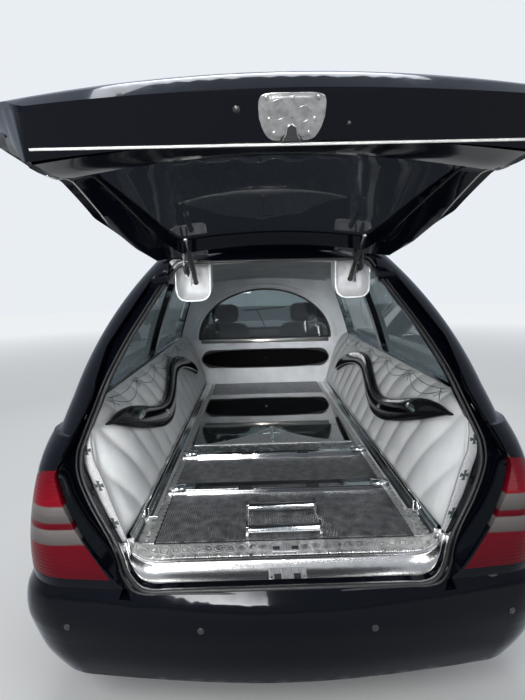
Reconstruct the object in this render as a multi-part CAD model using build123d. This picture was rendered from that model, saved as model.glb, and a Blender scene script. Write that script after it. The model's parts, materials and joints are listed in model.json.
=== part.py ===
# A hearse on a stretched estate car, with its tailgate open over the loading deck.
# Millimetres. X runs forward from the rear bumper's tip, Y to the car's left, Z up from the ground.
# The sub-parts are written about a middle found from the whole car's box.
from build123d import *
from math import cos, hypot, radians, sin, sqrt
import os

# Running gear
WHEELBASE = 3950
REAR_AXLE_X = 1150
TRACK = 1544
TYRE_RADIUS = 327
TYRE_WIDTH = 225
RIM_RADIUS = 203
RIM_DEPTH = 190
SPOKES = 10
HUB_RADIUS = 32
KINGPIN_Y = 690
AXLE_BEAM = 80
DISC_RADIUS = 150

# Body shell: wall thicknesses, gaps between panels and heights
DOOR_WALL = 90
ROOF_WALL = 45
WING_WALL = 28
GATE_WALL = 100
GATE_RAIL = 62
GLASS = 5
GLASS_SET_IN = 4
GAP = 6
HINGE_GAP = 8
BELT_Z = 1000
FLOOR_Z = 330
FLOOR_PLATE = 25
LOAD_FLOOR_Z = 455
FLOOR_STEP_X = 2950
FLOOR_REAR_X = 240
ARCH_RADIUS = 378
FRONT_ARCH_RADIUS = 390
REAR_HOUSE_Y = 630
FRONT_HOUSE_Y = 455
HOUSE_WALL = 12
HOUSE_LOW = 60
BULKHEAD_X = 4560
BULKHEAD = 30
COWL_X = 4640
BUMPER_WALL = 70
OPEN_BELOW = 60

# Plan outlines of the lower body and of the glasshouse, one row for each height. rear and front
# are X on the centre line, the halves are Y at the rear corner, amidships and at the front corner,
# the bows are how far each end curves forward or back, then the two corner radii.
# z, rear, front, rear half, mid half, front half, rear bow, front bow, rear radius, front radius
LOWER = [
    (235, 130, 5850, 795, 852, 745, 60, 170, 200, 260),
    (430, 62, 5985, 885, 898, 830, 70, 230, 200, 330),
    (640, 50, 6000, 905, 915, 848, 75, 250, 190, 340),
    (880, 122, 5930, 880, 898, 820, 80, 260, 190, 330),
    (BELT_Z, 205, 5830, 845, 862, 790, 82, 260, 180, 300),
]
UPPER = [
    (BELT_Z, 212, 4640, 822, 838, 775, 82, 230, 185, 150),
    (1350, 505, 4180, 715, 735, 690, 80, 190, 120, 120),
    (1760, 905, 3610, 410, 570, 530, 76, 150, 120, 90),
]
ROOF_ARC = [(700, 1662), (2250, 1702), (3960, 1492)]
ROOF_CROWN = 4400
ROOF_HALF = 520
BONNET_ARC = [(4560, 992), (5250, 940), (5900, 735)]
BONNET_CROWN = 4800

# Tailgate seen from behind: height and half width, and its place, hinge and struts
GATE_OUTLINE = [(548, 545), (890, 715), (1000, 715), (1290, 668), (1720, 430)]
GATE_INNER = [(548, 545), (890, 700), (1000, 690), (1290, 625), (1720, 385)]
GATE_HEM = 12
GATE_GAP = 8
GATE_GLASS = [(1075, 600), (1500, 394)]
GATE_CORNER = 70
GATE_UNDER = [(50, 548), (155, 572)]
GATE_HINGE = (855, 1580)
GATE_OPEN = 66
GATE_SWEEP = 112
HEADER_Z = 1628
HEADER_HALF = 462
ARM_Y = 385
ARM = 22
ARM_PATH = [(0, 0), (-48, -112), (-138, -60)]
STRUT_Y = 347
STRUT_FOOT = (822, 1532)
STRUT_HEAD = (615, 1328)
STRUT_TUBE = 11
STRUT_ROD = 5
STRUT_EYE = 9

# Doors and windows seen from the side: X and Z
DOOR_REAR_X = 3390
DOOR_FRONT_X = 4470
DOOR_SILL_Z = 345
DOOR_FRAME = [(3390, 1505), (3715, 1484), (4290, 1010)]
DOOR_GLASS = [(3440, 1045), (3440, 1440), (3690, 1424), (4190, 1045)]
REAR_SIDE_GLASS = [(560, 1060), (1960, 1045), (1960, 1530), (1000, 1540)]
MID_SIDE_GLASS = [(2040, 1045), (3330, 1045), (3330, 1490), (2040, 1530)]
SCREEN_OUTLINE = [(1006, 645), (1478, 525)]

# Load space
DECK_Z = 600
DECK_REAR_X = 240
DECK_HALF = 540
DECK_PLATE = 25
PARTITION_X = 3140
PARTITION = 30
SILL_LIP = (72, 531)
SILL_FOLD = (178, 557)
SILL_PLATE = 22
MOON_Z = 1020
MOON_HEIGHT = 450
MOON_HALF = 603
OVAL_Z = 835
OVAL_HEIGHT = 170
OVAL_WIDTH = 1170
ROLLER_RADIUS = 17
ROLLER_LENGTH = 260
ROLLERS = [285, 470]
# x, half width, height of each cross bar
BARS = [(684, 492, 16), (1143, 492, 16)]
RAIL_X = (460, 3100)
LINING = 14
CUSHION = [(546, 612), (612, 738), (752, 1075)]
CUSHION_TOP = 17
CUSHION_X = (245, 3120)
CUSHION_LEAN = 170
# x, z of the scroll's corners along its upper edge, round its curl and back along its lower edge
SCROLL = [(517, 958), (800, 972), (1440, 800), (1570, 812), (1860, 985), (2250, 985), (2720, 890),
          (3010, 735), (2760, 722), (2480, 815), (2180, 878), (1970, 870), (1640, 712), (1330, 700), (800, 850)]
SCROLL_BEND = 60
SCROLL_DEPTH = 30

# Cabin and underside
EXHAUST_Z = 250
SEAT_X = 3730
SEAT_Y = 370
SEAT_Z = 470
SEAT_TILT = 12
STEER_Y = 370
STEER_HUB = (4080, 880)
STEER_TILT = 24

# Front end
BONNET_REAR_HALF = 690
BONNET_FRONT_HALF = 600
BONNET_FRONT_X = (5880, 5755)
GRILLE_HALF = 320
GRILLE_Z = (575, 708)
GRILLE_BARS = 6
LAMP_Z = (600, 742)
FRONT_BUMPER_Z = 590

FRONT_AXLE_X = REAR_AXLE_X + WHEELBASE
WHEEL_Y = TRACK / 2
AXLE_Z = TYRE_RADIUS
REAR_BUMPER_Z = GATE_OUTLINE[0][0] - GAP
FAR = 8000


def outline(z, rear, front, rear_half, mid_half, front_half, rear_bow, front_bow, rear_radius,
            front_radius):
    """Plan outline at height z: four shallow arcs with rounded corners."""
    rear_x = rear + rear_bow
    front_x = front - front_bow
    middle = (rear + front) / 2
    face = make_face([
        ThreePointArc((rear_x, -rear_half), (rear, 0), (rear_x, rear_half)),
        ThreePointArc((rear_x, rear_half), (middle, mid_half), (front_x, front_half)),
        ThreePointArc((front_x, front_half), (front, 0), (front_x, -front_half)),
        ThreePointArc((front_x, -front_half), (middle, -mid_half), (rear_x, -rear_half)),
    ])
    face = fillet(face.vertices().sort_by(Axis.X)[:2], rear_radius)
    front_corners = [v for v in face.vertices() if abs(v.X - front_x) < 1 and abs(v.Y) > 1]
    return Pos(0, 0, z) * fillet(front_corners, front_radius)


def inset(rows, side, rear=None, front=None):
    """The same outlines moved inwards by a wall at the sides, the rear and the front."""
    rear = side if rear is None else rear
    front = side if front is None else front
    return [(z, r + rear, f - front, rh - side, mh - side, fh - side, rb, fb,
             max(rr - side, 40), max(fr - side, 40))
            for z, r, f, rh, mh, fh, rb, fb, rr, fr in rows]


def lofted(rows):
    return loft([outline(*row) for row in rows])


def barrel(arc, crown, front, rear, drop=0):
    """Solid below a surface whose side profile is an arc and whose crown is a circle."""
    first, middle, last = [(x, z - drop) for x, z in arc]
    axis_z = middle[1] - crown
    profile = make_face([
        Line((rear, first[1]), first), ThreePointArc(first, middle, last),
        Line(last, (front, last[1] - (front - last[0]) * 0.9)),
        Line((front, last[1] - (front - last[0]) * 0.9), (front, axis_z)),
        Line((front, axis_z), (rear, axis_z)), Line((rear, axis_z), (rear, first[1])),
    ])
    turned = Pos(0, 0, axis_z) * Rot(-30, 0, 0) * Pos(0, 0, -axis_z)
    return turned * revolve(Plane.XZ * profile, Axis((0, 0, axis_z), (1, 0, 0)), 60)


def side_prism(points, radius=0, low_y=0, high_y=FAR):
    """Outline in X and Z, carried across the car from low_y to high_y."""
    face = make_face(Polyline(*points, close=True))
    if radius:
        face = fillet(face.vertices(), radius)
    solid = extrude(Plane.XZ * face, high_y - low_y)
    return Pos(0, high_y, 0) * solid


def rear_prism(rows, radius=0, rear=-FAR / 2, front=FAR, grow=0):
    """Symmetrical outline given as height and half width, carried along the car."""
    right = [(half, z) for z, half in rows]
    left = [(-half, z) for z, half in reversed(rows)]
    face = make_face(Polyline(*right, *left, close=True))
    if radius:
        face = fillet(face.vertices(), radius)
    if grow:
        face = offset(face, grow, kind=Kind.INTERSECTION)
    return Pos(rear, 0, 0) * extrude(Plane.YZ * face, front - rear)


def block(x, y, z):
    """Box given by its low and high X, Y and Z."""
    return Pos((x[0] + x[1]) / 2, (y[0] + y[1]) / 2, (z[0] + z[1]) / 2) * Box(
        x[1] - x[0], y[1] - y[0], z[1] - z[0])


def rod_y(x, z, radius, low_y, high_y):
    """Round bar across the car."""
    return Pos(x, (low_y + high_y) / 2, z) * Rot(90, 0, 0) * Cylinder(radius, high_y - low_y)


def rod_between(start, end, radius):
    """Round bar from one point to another."""
    start = Vector(*start)
    end = Vector(*end)
    run = end - start
    return Plane(origin=start + run / 2, z_dir=run) * Cylinder(radius, run.length)


def mirrored(shape):
    return mirror(shape, Plane.XZ)


def pair(shape):
    """A left-hand shape with its right-hand twin."""
    return Compound([*shape.solids(), *mirrored(shape).solids()])


def group(*shapes):
    """Solids that don't touch, kept in one sub-part."""
    return Compound([solid for shape in shapes for solid in shape.solids()])


# Body shell: the whole outer form and the hollow in it, from which the panels are cut
def outer_form(t=0):
    """The closed outer form, moved inwards by t."""
    upper = lofted(inset(UPPER, t)) & barrel(ROOF_ARC, ROOF_CROWN, 4400, 0, t)
    lower = lofted(inset(LOWER, t))
    bonnet_line = block((COWL_X - 60, FAR), (-FAR, FAR), (400, 1200))
    lower = lower - (bonnet_line - barrel(BONNET_ARC, BONNET_CROWN, 6200, 4000, t))
    return upper + lower


def open_below(rows):
    """The same outlines with the lowest one moved down, so that the space is open underneath."""
    (z, *rest), *others = rows
    return [(z - OPEN_BELOW, *rest), *others]


def lower_room():
    """Space between the lower walls."""
    return lofted(open_below(inset(LOWER, DOOR_WALL, GATE_WALL)))


def hollow_form():
    """The cabin and load space inside the walls, open below."""
    low = lower_room() & block((-FAR, BULKHEAD_X), (-FAR, FAR), (0, FAR))
    high = lofted(inset(UPPER, ROOF_WALL, GATE_RAIL)) & barrel(ROOF_ARC, ROOF_CROWN, 4400, 0, ROOF_WALL)
    return low + high


def engine_bay():
    """The space under the bonnet between the wing skins."""
    bay = lofted(open_below(inset(LOWER, WING_WALL)))
    bay = bay & barrel(BONNET_ARC, BONNET_CROWN, 6200, 4000, WING_WALL)
    return bay & block((BULKHEAD_X, FAR), (-FAR, FAR), (0, FAR))


def gate_cutter(grow=0, rows=GATE_OUTLINE):
    """Everything that swings with the tailgate. It ends in front in a sweep about the hinge."""
    x, z = GATE_HINGE
    return rear_prism(rows, GATE_CORNER, front=x, grow=grow) - rod_y(x, z, GATE_SWEEP - grow, -FAR, FAR)


def door_outline():
    top_rear, top_front, pillar_foot = DOOR_FRAME
    return [(DOOR_REAR_X, DOOR_SILL_Z), (DOOR_FRONT_X, DOOR_SILL_Z), (DOOR_FRONT_X, BELT_Z - 15),
            pillar_foot, top_front, top_rear]


def door_cutter(gap=0):
    """Left door's outline in the side view, shrunk by a gap."""
    face = fillet(make_face(Polyline(*door_outline(), close=True)).vertices(), 30)
    if gap:
        face = offset(face, -gap, kind=Kind.INTERSECTION)
    return Pos(0, FAR, 0) * extrude(Plane.XZ * face, FAR - ROOF_HALF - gap)


def wheel_space(x, inner_y, radius):
    """Room for one left wheel, open to the outside and below."""
    return rod_y(x, AXLE_Z, radius, inner_y, FAR) + block(
        (x - radius, x + radius), (inner_y, FAR), (-10, AXLE_Z))


def lamp_prism():
    """Left tail lamp seen from behind, beside the tailgate."""
    points = [(577, 572), (716, 908), (800, 898), (960, 826), (960, 572)]
    return Pos(-200, 0, 0) * extrude(Plane.YZ * make_face(Polyline(*points, close=True)), 560)


def head_prism():
    """Left headlamp seen from the front."""
    low, high = LAMP_Z
    points = [(GRILLE_HALF + 110, low), (GRILLE_HALF + 90, high - 25), (780, high + 26), (940, high + 10),
              (940, low + 30)]
    return Pos(5480, 0, 0) * extrude(Plane.YZ * make_face(Polyline(*points, close=True)), 700)


def bonnet_cutter(grow=0):
    """Bonnet seen from above, with its leading edge bowed like the nose."""
    tip_x, corner_x = BONNET_FRONT_X
    rear, front = BONNET_REAR_HALF, BONNET_FRONT_HALF
    face = make_face([
        Line((COWL_X, rear), (COWL_X, -rear)), Line((COWL_X, -rear), (corner_x, -front)),
        ThreePointArc((corner_x, -front), (tip_x, 0), (corner_x, front)),
        Line((corner_x, front), (COWL_X, rear)),
    ])
    if grow:
        face = offset(face, grow, kind=Kind.INTERSECTION)
    return Pos(0, 0, 650) * extrude(face, 600)


OUTER = outer_form()
HOLLOW = hollow_form()
BAY = engine_bay()
SHELL = OUTER - HOLLOW - BAY
COWL_ZONE = block((COWL_X - 250, COWL_X - GAP), (-SCREEN_OUTLINE[0][1], SCREEN_OUTLINE[0][1]),
                  (900, SCREEN_OUTLINE[0][0]))
HEADER_ROOM = block((560, GATE_HINGE[0] + 30), (-HEADER_HALF, HEADER_HALF), (1300, HEADER_Z))
ARCHES = wheel_space(REAR_AXLE_X, 600, ARCH_RADIUS) + wheel_space(FRONT_AXLE_X, 400, FRONT_ARCH_RADIUS)
GLASS_SKIN = outer_form(GLASS_SET_IN) - outer_form(GLASS_SET_IN + GLASS)
LAMP_SKIN = OUTER - outer_form(55)
REAR_BUMPER_ZONE = block((-FAR, REAR_AXLE_X - ARCH_RADIUS + 20), (-FAR, FAR), (0, REAR_BUMPER_Z))
FRONT_BUMPER_ZONE = block((FRONT_AXLE_X + ARCH_RADIUS - 10, FAR), (-FAR, FAR), (0, FRONT_BUMPER_Z))
GRILLE_ZONE = block((5600, FAR), (-GRILLE_HALF, GRILLE_HALF), GRILLE_Z)
WINDOWS = [side_prism(points, 45, 200) for points in (REAR_SIDE_GLASS, MID_SIDE_GLASS)]
SCREEN = rear_prism(SCREEN_OUTLINE, 50, 3700, 4700)
GATE_WINDOW = rear_prism(GATE_GLASS, 50, -200, GATE_HINGE[0] - 100)


def body_panels():
    """Both sides, roof and wings, cut from the shell where the real panels meet."""
    left = (SHELL & block((-FAR, FAR), (0, FAR), (0, FAR))) - HEADER_ROOM - sill_room()
    left = left - gate_cutter(GATE_GAP) - door_cutter() - ARCHES - REAR_BUMPER_ZONE - FRONT_BUMPER_ZONE
    for window in WINDOWS:
        left = left - window
    left = left - (LAMP_SKIN & lamp_prism())
    roof_zone = block((GATE_HINGE[0] - 108, 3960), (-ROOF_HALF, ROOF_HALF), (1350, 1800))
    wing_zone = block((DOOR_FRONT_X, FAR), (0, FAR), (0, 1010))
    roof = (SHELL & roof_zone) - gate_cutter(GATE_GAP) - SCREEN - HEADER_ROOM
    side = left - roof_zone - wing_zone - SCREEN - COWL_ZONE
    wing = SHELL & wing_zone
    for cut in (door_cutter(), ARCHES, FRONT_BUMPER_ZONE, head_prism(), GRILLE_ZONE, bonnet_cutter(GAP), COWL_ZONE):
        wing = wing - cut
    side = side.solids().sort_by(SortBy.VOLUME)[-1]
    wing = wing.solids().sort_by(SortBy.VOLUME)[-1]
    roof = roof.solids().sort_by(SortBy.VOLUME)[-1]
    return side, roof, wing


def biggest(shape):
    return shape.solids().sort_by(SortBy.VOLUME)[-1]


def door():
    """Left door with its frame, window opening and mirror."""
    panel = SHELL & door_cutter(GAP)
    panel = panel - side_prism(DOOR_GLASS, 40, 200)
    panel = biggest(panel & block((DOOR_REAR_X, DOOR_FRONT_X - HINGE_GAP), (0, FAR), (0, FAR)))
    arm = block((4215, 4265), (790, 905), (950, 1040))
    shell = Pos(4240, 955, 1070) * Box(110, 190, 130)
    shell = fillet(shell.edges(), 25)
    return panel + arm + shell


def door_glass():
    return biggest(GLASS_SKIN & side_prism(DOOR_GLASS, 40, 200))


def side_windows():
    panes = [biggest(GLASS_SKIN & window) for window in WINDOWS]
    return group(*panes, *[mirrored(pane) for pane in panes])


def windscreen():
    return biggest(GLASS_SKIN & SCREEN)


def tailgate():
    """Tailgate, closed: outer skin with its hem, the narrower body inside it, sloped underneath."""
    hem = (OUTER - outer_form(GATE_HEM)) & gate_cutter()
    gate = hem + (SHELL & gate_cutter(rows=GATE_INNER))
    gate = gate - GATE_WINDOW
    (rear_x, rear_z), (front_x, front_z) = GATE_UNDER
    slope = (front_z - rear_z) / (front_x - rear_x)
    under = side_prism([(rear_x - 300, 0), (FAR, 0), (FAR, front_z), (front_x + 200, front_z + slope * 200),
                        (rear_x, rear_z), (rear_x - 300, rear_z)], 0, -FAR, FAR)
    gate = biggest(gate - under)
    x, z = STRUT_HEAD
    for sign in (-1, 1):
        foot = block((x - 22, x + 22), sorted((sign * (STRUT_Y + 22), sign * (STRUT_Y + 36))), (z - 18, z + 75))
        foot = foot + block((x - 22, x + 22), sorted((sign * (STRUT_Y + 22), sign * 470)), (z + 57, z + 75))
        stud = rod_y(x, z, STRUT_EYE / 2, *sorted((sign * (STRUT_Y + STRUT_EYE + 3), sign * (STRUT_Y + 24))))
        gate = gate + ((foot + stud) - GATE_WINDOW)
    return gate


def tailgate_glass():
    return biggest(GLASS_SKIN & GATE_WINDOW)


def tailgate_arms(gate):
    """Two gooseneck arms from the hinge pins round the roof's edge to the gate."""
    px, pz = GATE_HINGE
    points = [(px + dx, pz + dz) for dx, dz in ARM_PATH]
    line = FilletPolyline(*points, radius=30)
    half = ARM / 2
    strip = offset(line, half, side=Side.BOTH)
    arm = Pos(0, ARM_Y + 4, 0) * extrude(Plane.XZ * make_face(strip), 8)
    arm = arm + rod_y(px, pz, ARM, ARM_Y - 4, ARM_Y + 4) - rod_y(px, pz, ARM / 2 + 0.5, -FAR, FAR)
    return pair(biggest(arm - gate))


def opened(shape):
    """Turns what is on the tailgate from closed to open about its hinge."""
    px, pz = GATE_HINGE
    return Pos(px, 0, pz) * Rot(0, GATE_OPEN, 0) * Pos(-px, 0, -pz) * shape


def turned_point(point, angle):
    """Where a tailgate point is once the gate has opened by an angle."""
    px, pz = GATE_HINGE
    dx, dz = point[0] - px, point[1] - pz
    a = radians(angle)
    return px + dx * cos(a) + dz * sin(a), pz - dx * sin(a) + dz * cos(a)


def wheel(x, y):
    """Tyre and rim at one corner. The rim's face looks outwards."""
    side = 1 if y > 0 else -1
    half = TYRE_WIDTH / 2
    rim_half = RIM_DEPTH / 2
    seat, flange, lip = RIM_RADIUS - 6, RIM_RADIUS + 8, rim_half - 12
    belly = (RIM_RADIUS + TYRE_RADIUS) / 2
    crown = [(TYRE_RADIUS - 22, half - 12), (TYRE_RADIUS - 6, half - 18), (TYRE_RADIUS - 2, half - 34)]
    mirror_crown = [(r, -y) for r, y in reversed(crown)]
    tyre = make_face([
        Polyline((flange, -rim_half), (flange, -lip), (seat, -lip), (seat, lip), (flange, lip),
                 (flange, rim_half)),
        ThreePointArc((flange, rim_half), (belly, half), crown[0]),
        ThreePointArc(*crown),
        ThreePointArc(crown[2], (TYRE_RADIUS, 0), mirror_crown[0]),
        ThreePointArc(*mirror_crown),
        ThreePointArc(mirror_crown[2], (belly, -half), (flange, -rim_half)),
    ])
    tyre = revolve(tyre, Axis.Y)
    face_y = rim_half - 42
    rim = make_face(Polyline(
        (HUB_RADIUS, face_y - 30), (HUB_RADIUS, face_y + 8), (HUB_RADIUS + 45, face_y + 8),
        (RIM_RADIUS - 28, face_y + 26), (RIM_RADIUS - 16, rim_half), (flange, rim_half), (flange, lip),
        (seat, lip), (seat, -lip), (flange, -lip), (flange, -rim_half), (RIM_RADIUS - 14, -rim_half),
        (RIM_RADIUS - 16, face_y - 14), (HUB_RADIUS + 45, face_y - 30), close=True))
    rim = revolve(rim, Axis.Y)
    window = extrude(Plane.XZ * fillet(make_face(Polyline(
        (86, -12), (RIM_RADIUS - 34, -34), (RIM_RADIUS - 34, 34), (86, 12), close=True)).vertices(), 6),
        RIM_DEPTH, both=True)
    for i in range(SPOKES):
        rim = rim - Rot(0, 360 / SPOKES * i, 0) * window
    place = Pos(x, y, AXLE_Z)
    if side < 0:
        tyre, rim = mirrored(tyre), mirrored(rim)
    return place * tyre, place * rim


def knuckle():
    """Left front knuckle: upright on the kingpin, stub axle, disc and steering arm."""
    inner = WHEEL_Y + RIM_DEPTH / 2 - 42 - 30
    upright = block((FRONT_AXLE_X - 30, FRONT_AXLE_X + 30), (KINGPIN_Y - 22, KINGPIN_Y + 22),
                    (AXLE_Z - 95, AXLE_Z + 95))
    stub = rod_y(FRONT_AXLE_X, AXLE_Z, HUB_RADIUS - 1, KINGPIN_Y, inner + 24)
    disc = rod_y(FRONT_AXLE_X, AXLE_Z, DISC_RADIUS, inner - 34, inner - 12)
    arm = block((FRONT_AXLE_X - 130, FRONT_AXLE_X), (KINGPIN_Y - 12, KINGPIN_Y + 12),
                (AXLE_Z - 30, AXLE_Z))
    return upright + stub + disc + arm


def axles():
    """Rear beam axle with its hubs, and the front crossmember with lower arms."""
    inner = WHEEL_Y + RIM_DEPTH / 2 - 42 - 30
    beam = rod_y(REAR_AXLE_X, AXLE_Z, AXLE_BEAM / 2, -(inner - 12), inner - 12)
    beam = beam + rod_y(REAR_AXLE_X, AXLE_Z, HUB_RADIUS - 1, -(inner + 24), inner + 24)
    for sign in (-1, 1):
        beam = beam + rod_y(REAR_AXLE_X, AXLE_Z, DISC_RADIUS, *sorted((sign * (inner - 34), sign * (inner - 12))))
    front = block((FRONT_AXLE_X - 45, FRONT_AXLE_X + 45), (-330, 330), (AXLE_Z - 120, AXLE_Z - 60))
    plate = make_face(Polyline((FRONT_AXLE_X - 110, 300), (FRONT_AXLE_X + 110, 300),
                               (FRONT_AXLE_X + 26, KINGPIN_Y), (FRONT_AXLE_X - 26, KINGPIN_Y), close=True))
    plate = extrude(Pos(0, 0, AXLE_Z - 118) * plate, 18) + Pos(
        FRONT_AXLE_X, KINGPIN_Y, AXLE_Z - 109) * Cylinder(30, 18)
    front = front + plate + mirrored(plate)
    return group(beam, front)


def strut_points():
    """Body pin, and the gate pin at rest with the tailgate open."""
    return STRUT_FOOT, turned_point(STRUT_HEAD, GATE_OPEN)


def strut(y):
    """Gas strut in its open place: the tube on the body pin and the rod on the gate, each turned in one piece."""
    (fx, fz), (hx, hz) = strut_points()
    run = hypot(hx - fx, hz - fz)
    closed = hypot(STRUT_HEAD[0] - fx, STRUT_HEAD[1] - fz)
    tube_end, bore, ball, neck = closed - 45, STRUT_ROD + 1, STRUT_EYE + 3, 8
    neck_z = sqrt(ball ** 2 - neck ** 2)
    place = Plane(origin=(fx, y, fz), x_dir=(0, 1, 0), z_dir=(hx - fx, 0, hz - fz))
    tube = make_face([
        ThreePointArc((0, -ball), (ball, 0), (neck, neck_z)),
        Polyline((neck, neck_z), (neck, 16), (STRUT_TUBE, 16), (STRUT_TUBE, tube_end), (bore, tube_end),
                 (bore, 60), (0, 60), (0, -ball)),
    ])
    rod_z = run - sqrt(STRUT_EYE ** 2 - STRUT_ROD ** 2)
    rod = make_face([
        Polyline((0, run + STRUT_EYE), (0, closed - 90), (STRUT_ROD, closed - 90), (STRUT_ROD, rod_z)),
        ThreePointArc((STRUT_ROD, rod_z), (STRUT_EYE, run), (0, run + STRUT_EYE)),
    ])
    return tuple(place * revolve(Plane.XZ * half, Axis.Z) for half in (tube, rod))


def hinge_mounts():
    """Hinge pins and strut studs that stay on the body, on small brackets under the roof."""
    px, pz = GATE_HINGE
    fx, fz = STRUT_FOOT
    pin = rod_y(px, pz, ARM / 2, ARM_Y - 16, ARM_Y + 16)
    ear = block((px - 14, px + 14), (ARM_Y + 10, ARM_Y + 16), (pz - 14, FAR))
    foot = block((fx - 14, fx + 14), (STRUT_Y + 18, STRUT_Y + 24), (fz - 14, FAR))
    stud = rod_y(fx, fz, STRUT_EYE / 2, STRUT_Y + STRUT_EYE + 6, STRUT_Y + 24)
    under = HOLLOW + HEADER_ROOM
    return group(pair(pin + (ear & under)), pair(stud + (foot & under)))


def hinge_covers():
    """Moulded covers round the hinges, open to the rear where arms and struts come out."""
    px, pz = GATE_HINGE
    body = block((px - 20, px + 165), (280, 445), (STRUT_FOOT[1] - 95, FAR))
    body = fillet(body.edges().filter_by(Axis.Z).sort_by(Axis.X)[2:], 60)
    room = block((px - 60, px + 100), (STRUT_Y - 24, ARM_Y + 22), (0, FAR))
    return pair(biggest((body - room) & barrel(ROOF_ARC, ROOF_CROWN, 4400, 0, ROOF_WALL + LINING)))


def headlining():
    """Ceiling panel from the hinges to the partition, under the roof."""
    zone = block((GATE_HINGE[0] + 30, PARTITION_X), (-560, 560), (1400, 1800))
    low = barrel(ROOF_ARC, ROOF_CROWN, 4400, 0, ROOF_WALL + LINING)
    return biggest((HOLLOW - low) & zone)


def deck():
    """Flat loading deck between the wheel houses, on two long bearers."""
    top = block((DECK_REAR_X, PARTITION_X), (-DECK_HALF, DECK_HALF), (DECK_Z - DECK_PLATE, DECK_Z))
    for sign in (-1, 1):
        y = sign * (DECK_HALF - 120)
        top = top + block((DECK_REAR_X + 60, FLOOR_STEP_X - 20), (y - 30, y + 30),
                          (LOAD_FLOOR_Z + FLOOR_PLATE, DECK_Z - DECK_PLATE))
    return top


def deck_fittings():
    """Two pairs of cross bars, two roller units and the angle rails along the deck."""
    parts = []
    for x, half, height in BARS:
        parts.append(block((x, x + 34), (-half, half), (DECK_Z, DECK_Z + height)))
    for x in ROLLERS:
        roller = rod_y(x, DECK_Z + ROLLER_RADIUS + 8, ROLLER_RADIUS, -ROLLER_LENGTH / 2, ROLLER_LENGTH / 2)
        for sign in (-1, 1):
            y = sign * (ROLLER_LENGTH / 2 + 5)
            roller = roller + block((x - 24, x + 24), (y - 5, y + 5), (DECK_Z, DECK_Z + 2 * ROLLER_RADIUS + 12))
        parts.append(roller)
    for sign in (-1, 1):
        y = sign * (DECK_HALF - 8)
        rail = block((RAIL_X[0], RAIL_X[1]), sorted((y, y + sign * 4)), (DECK_Z, DECK_Z + 38))
        rail = rail + block((RAIL_X[0], RAIL_X[1]), sorted((y, y - sign * 34)), (DECK_Z, DECK_Z + 4))
        parts.append(rail)
    return group(*parts)


def side_cushion():
    """Left padded side, from the deck's edge up to the belt, over the wheel house."""
    low, shoulder, top = CUSHION
    face = make_face(Polyline(low, (top[0] - CUSHION_TOP, top[1]), top, (top[0], shoulder[1]), shoulder,
                              (shoulder[0], low[1]), close=True))
    rear, front = CUSHION_X
    solid = Pos(rear, 0, 0) * extrude(Plane.YZ * face, front - rear)
    lean = CUSHION_LEAN
    cut = side_prism([(rear - 400, low[1]), (rear, low[1]), (rear + lean, top[1]), (rear - 400, top[1])],
                     0, 0, FAR)
    solid = solid - cut
    below = solid & lower_room()
    above = solid & lofted(inset(UPPER, ROOF_WALL, GATE_RAIL))
    return biggest(below + above)


def scroll_arm():
    """Left S-shaped scroll that lies along the padded side."""
    (low_y, low_z), _, (top_y, top_z) = CUSHION
    slope = (top_y - CUSHION_TOP - low_y) / (top_z - low_z)
    stretch = hypot(1, slope)
    plane = Plane(origin=(0, low_y, low_z), x_dir=(1, 0, 0), z_dir=(0, -1, slope))
    face = make_face(Polyline(*[(x, (z - low_z) * stretch) for x, z in SCROLL], close=True))
    face = fillet(face.vertices().sort_by(Axis.X)[1:-1], SCROLL_BEND)
    return extrude(plane * face, SCROLL_DEPTH)


def sill_tray():
    """Polished tray that slopes from the deck's rear edge down to the lip."""
    lip_x, lip_z = SILL_LIP
    fold_x, fold_z = SILL_FOLD
    top = [(DECK_REAR_X, DECK_Z), (fold_x, fold_z), (lip_x, lip_z)]
    face = make_face(Polyline(*top, *[(x, z - SILL_PLATE) for x, z in reversed(top)], close=True))
    return Pos(0, DECK_HALF, 0) * extrude(Plane.XZ * face, 2 * DECK_HALF)


def sill_room():
    """What the rear bumper and the side panels leave free for the tray."""
    lip_x, lip_z = SILL_LIP
    fold_x, fold_z = SILL_FOLD
    points = [(DECK_REAR_X, DECK_Z - SILL_PLATE), (fold_x, fold_z - SILL_PLATE), (lip_x, lip_z - SILL_PLATE),
              (lip_x, DECK_Z), (DECK_REAR_X, DECK_Z)]
    return side_prism(points, 0, -DECK_HALF, DECK_HALF)


def partition():
    """Wall behind the front seats with its half-moon window and the oval opening below it."""
    wall = HOLLOW & block((PARTITION_X, PARTITION_X + PARTITION), (-FAR, FAR), (FLOOR_Z + FLOOR_PLATE, FAR))
    return biggest(wall - moon() - oval_hole())


def moon(shrink=0):
    """Half-moon window, straight at the base."""
    face = Plane.YZ * Pos(0, MOON_Z) * Ellipse(MOON_HALF - shrink, MOON_HEIGHT - shrink)
    solid = Pos(PARTITION_X - 50, 0, 0) * extrude(face, 150)
    return solid & block((-FAR, FAR), (-FAR, FAR), (MOON_Z + shrink, FAR))


def oval_hole():
    face = Plane.YZ * Pos(0, OVAL_Z) * SlotOverall(OVAL_WIDTH, OVAL_HEIGHT)
    return Pos(PARTITION_X - 50, 0, 0) * extrude(face, 150)


def partition_glass():
    return moon(1) & block((PARTITION_X + 10, PARTITION_X + 16), (-FAR, FAR), (0, FAR))


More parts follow.
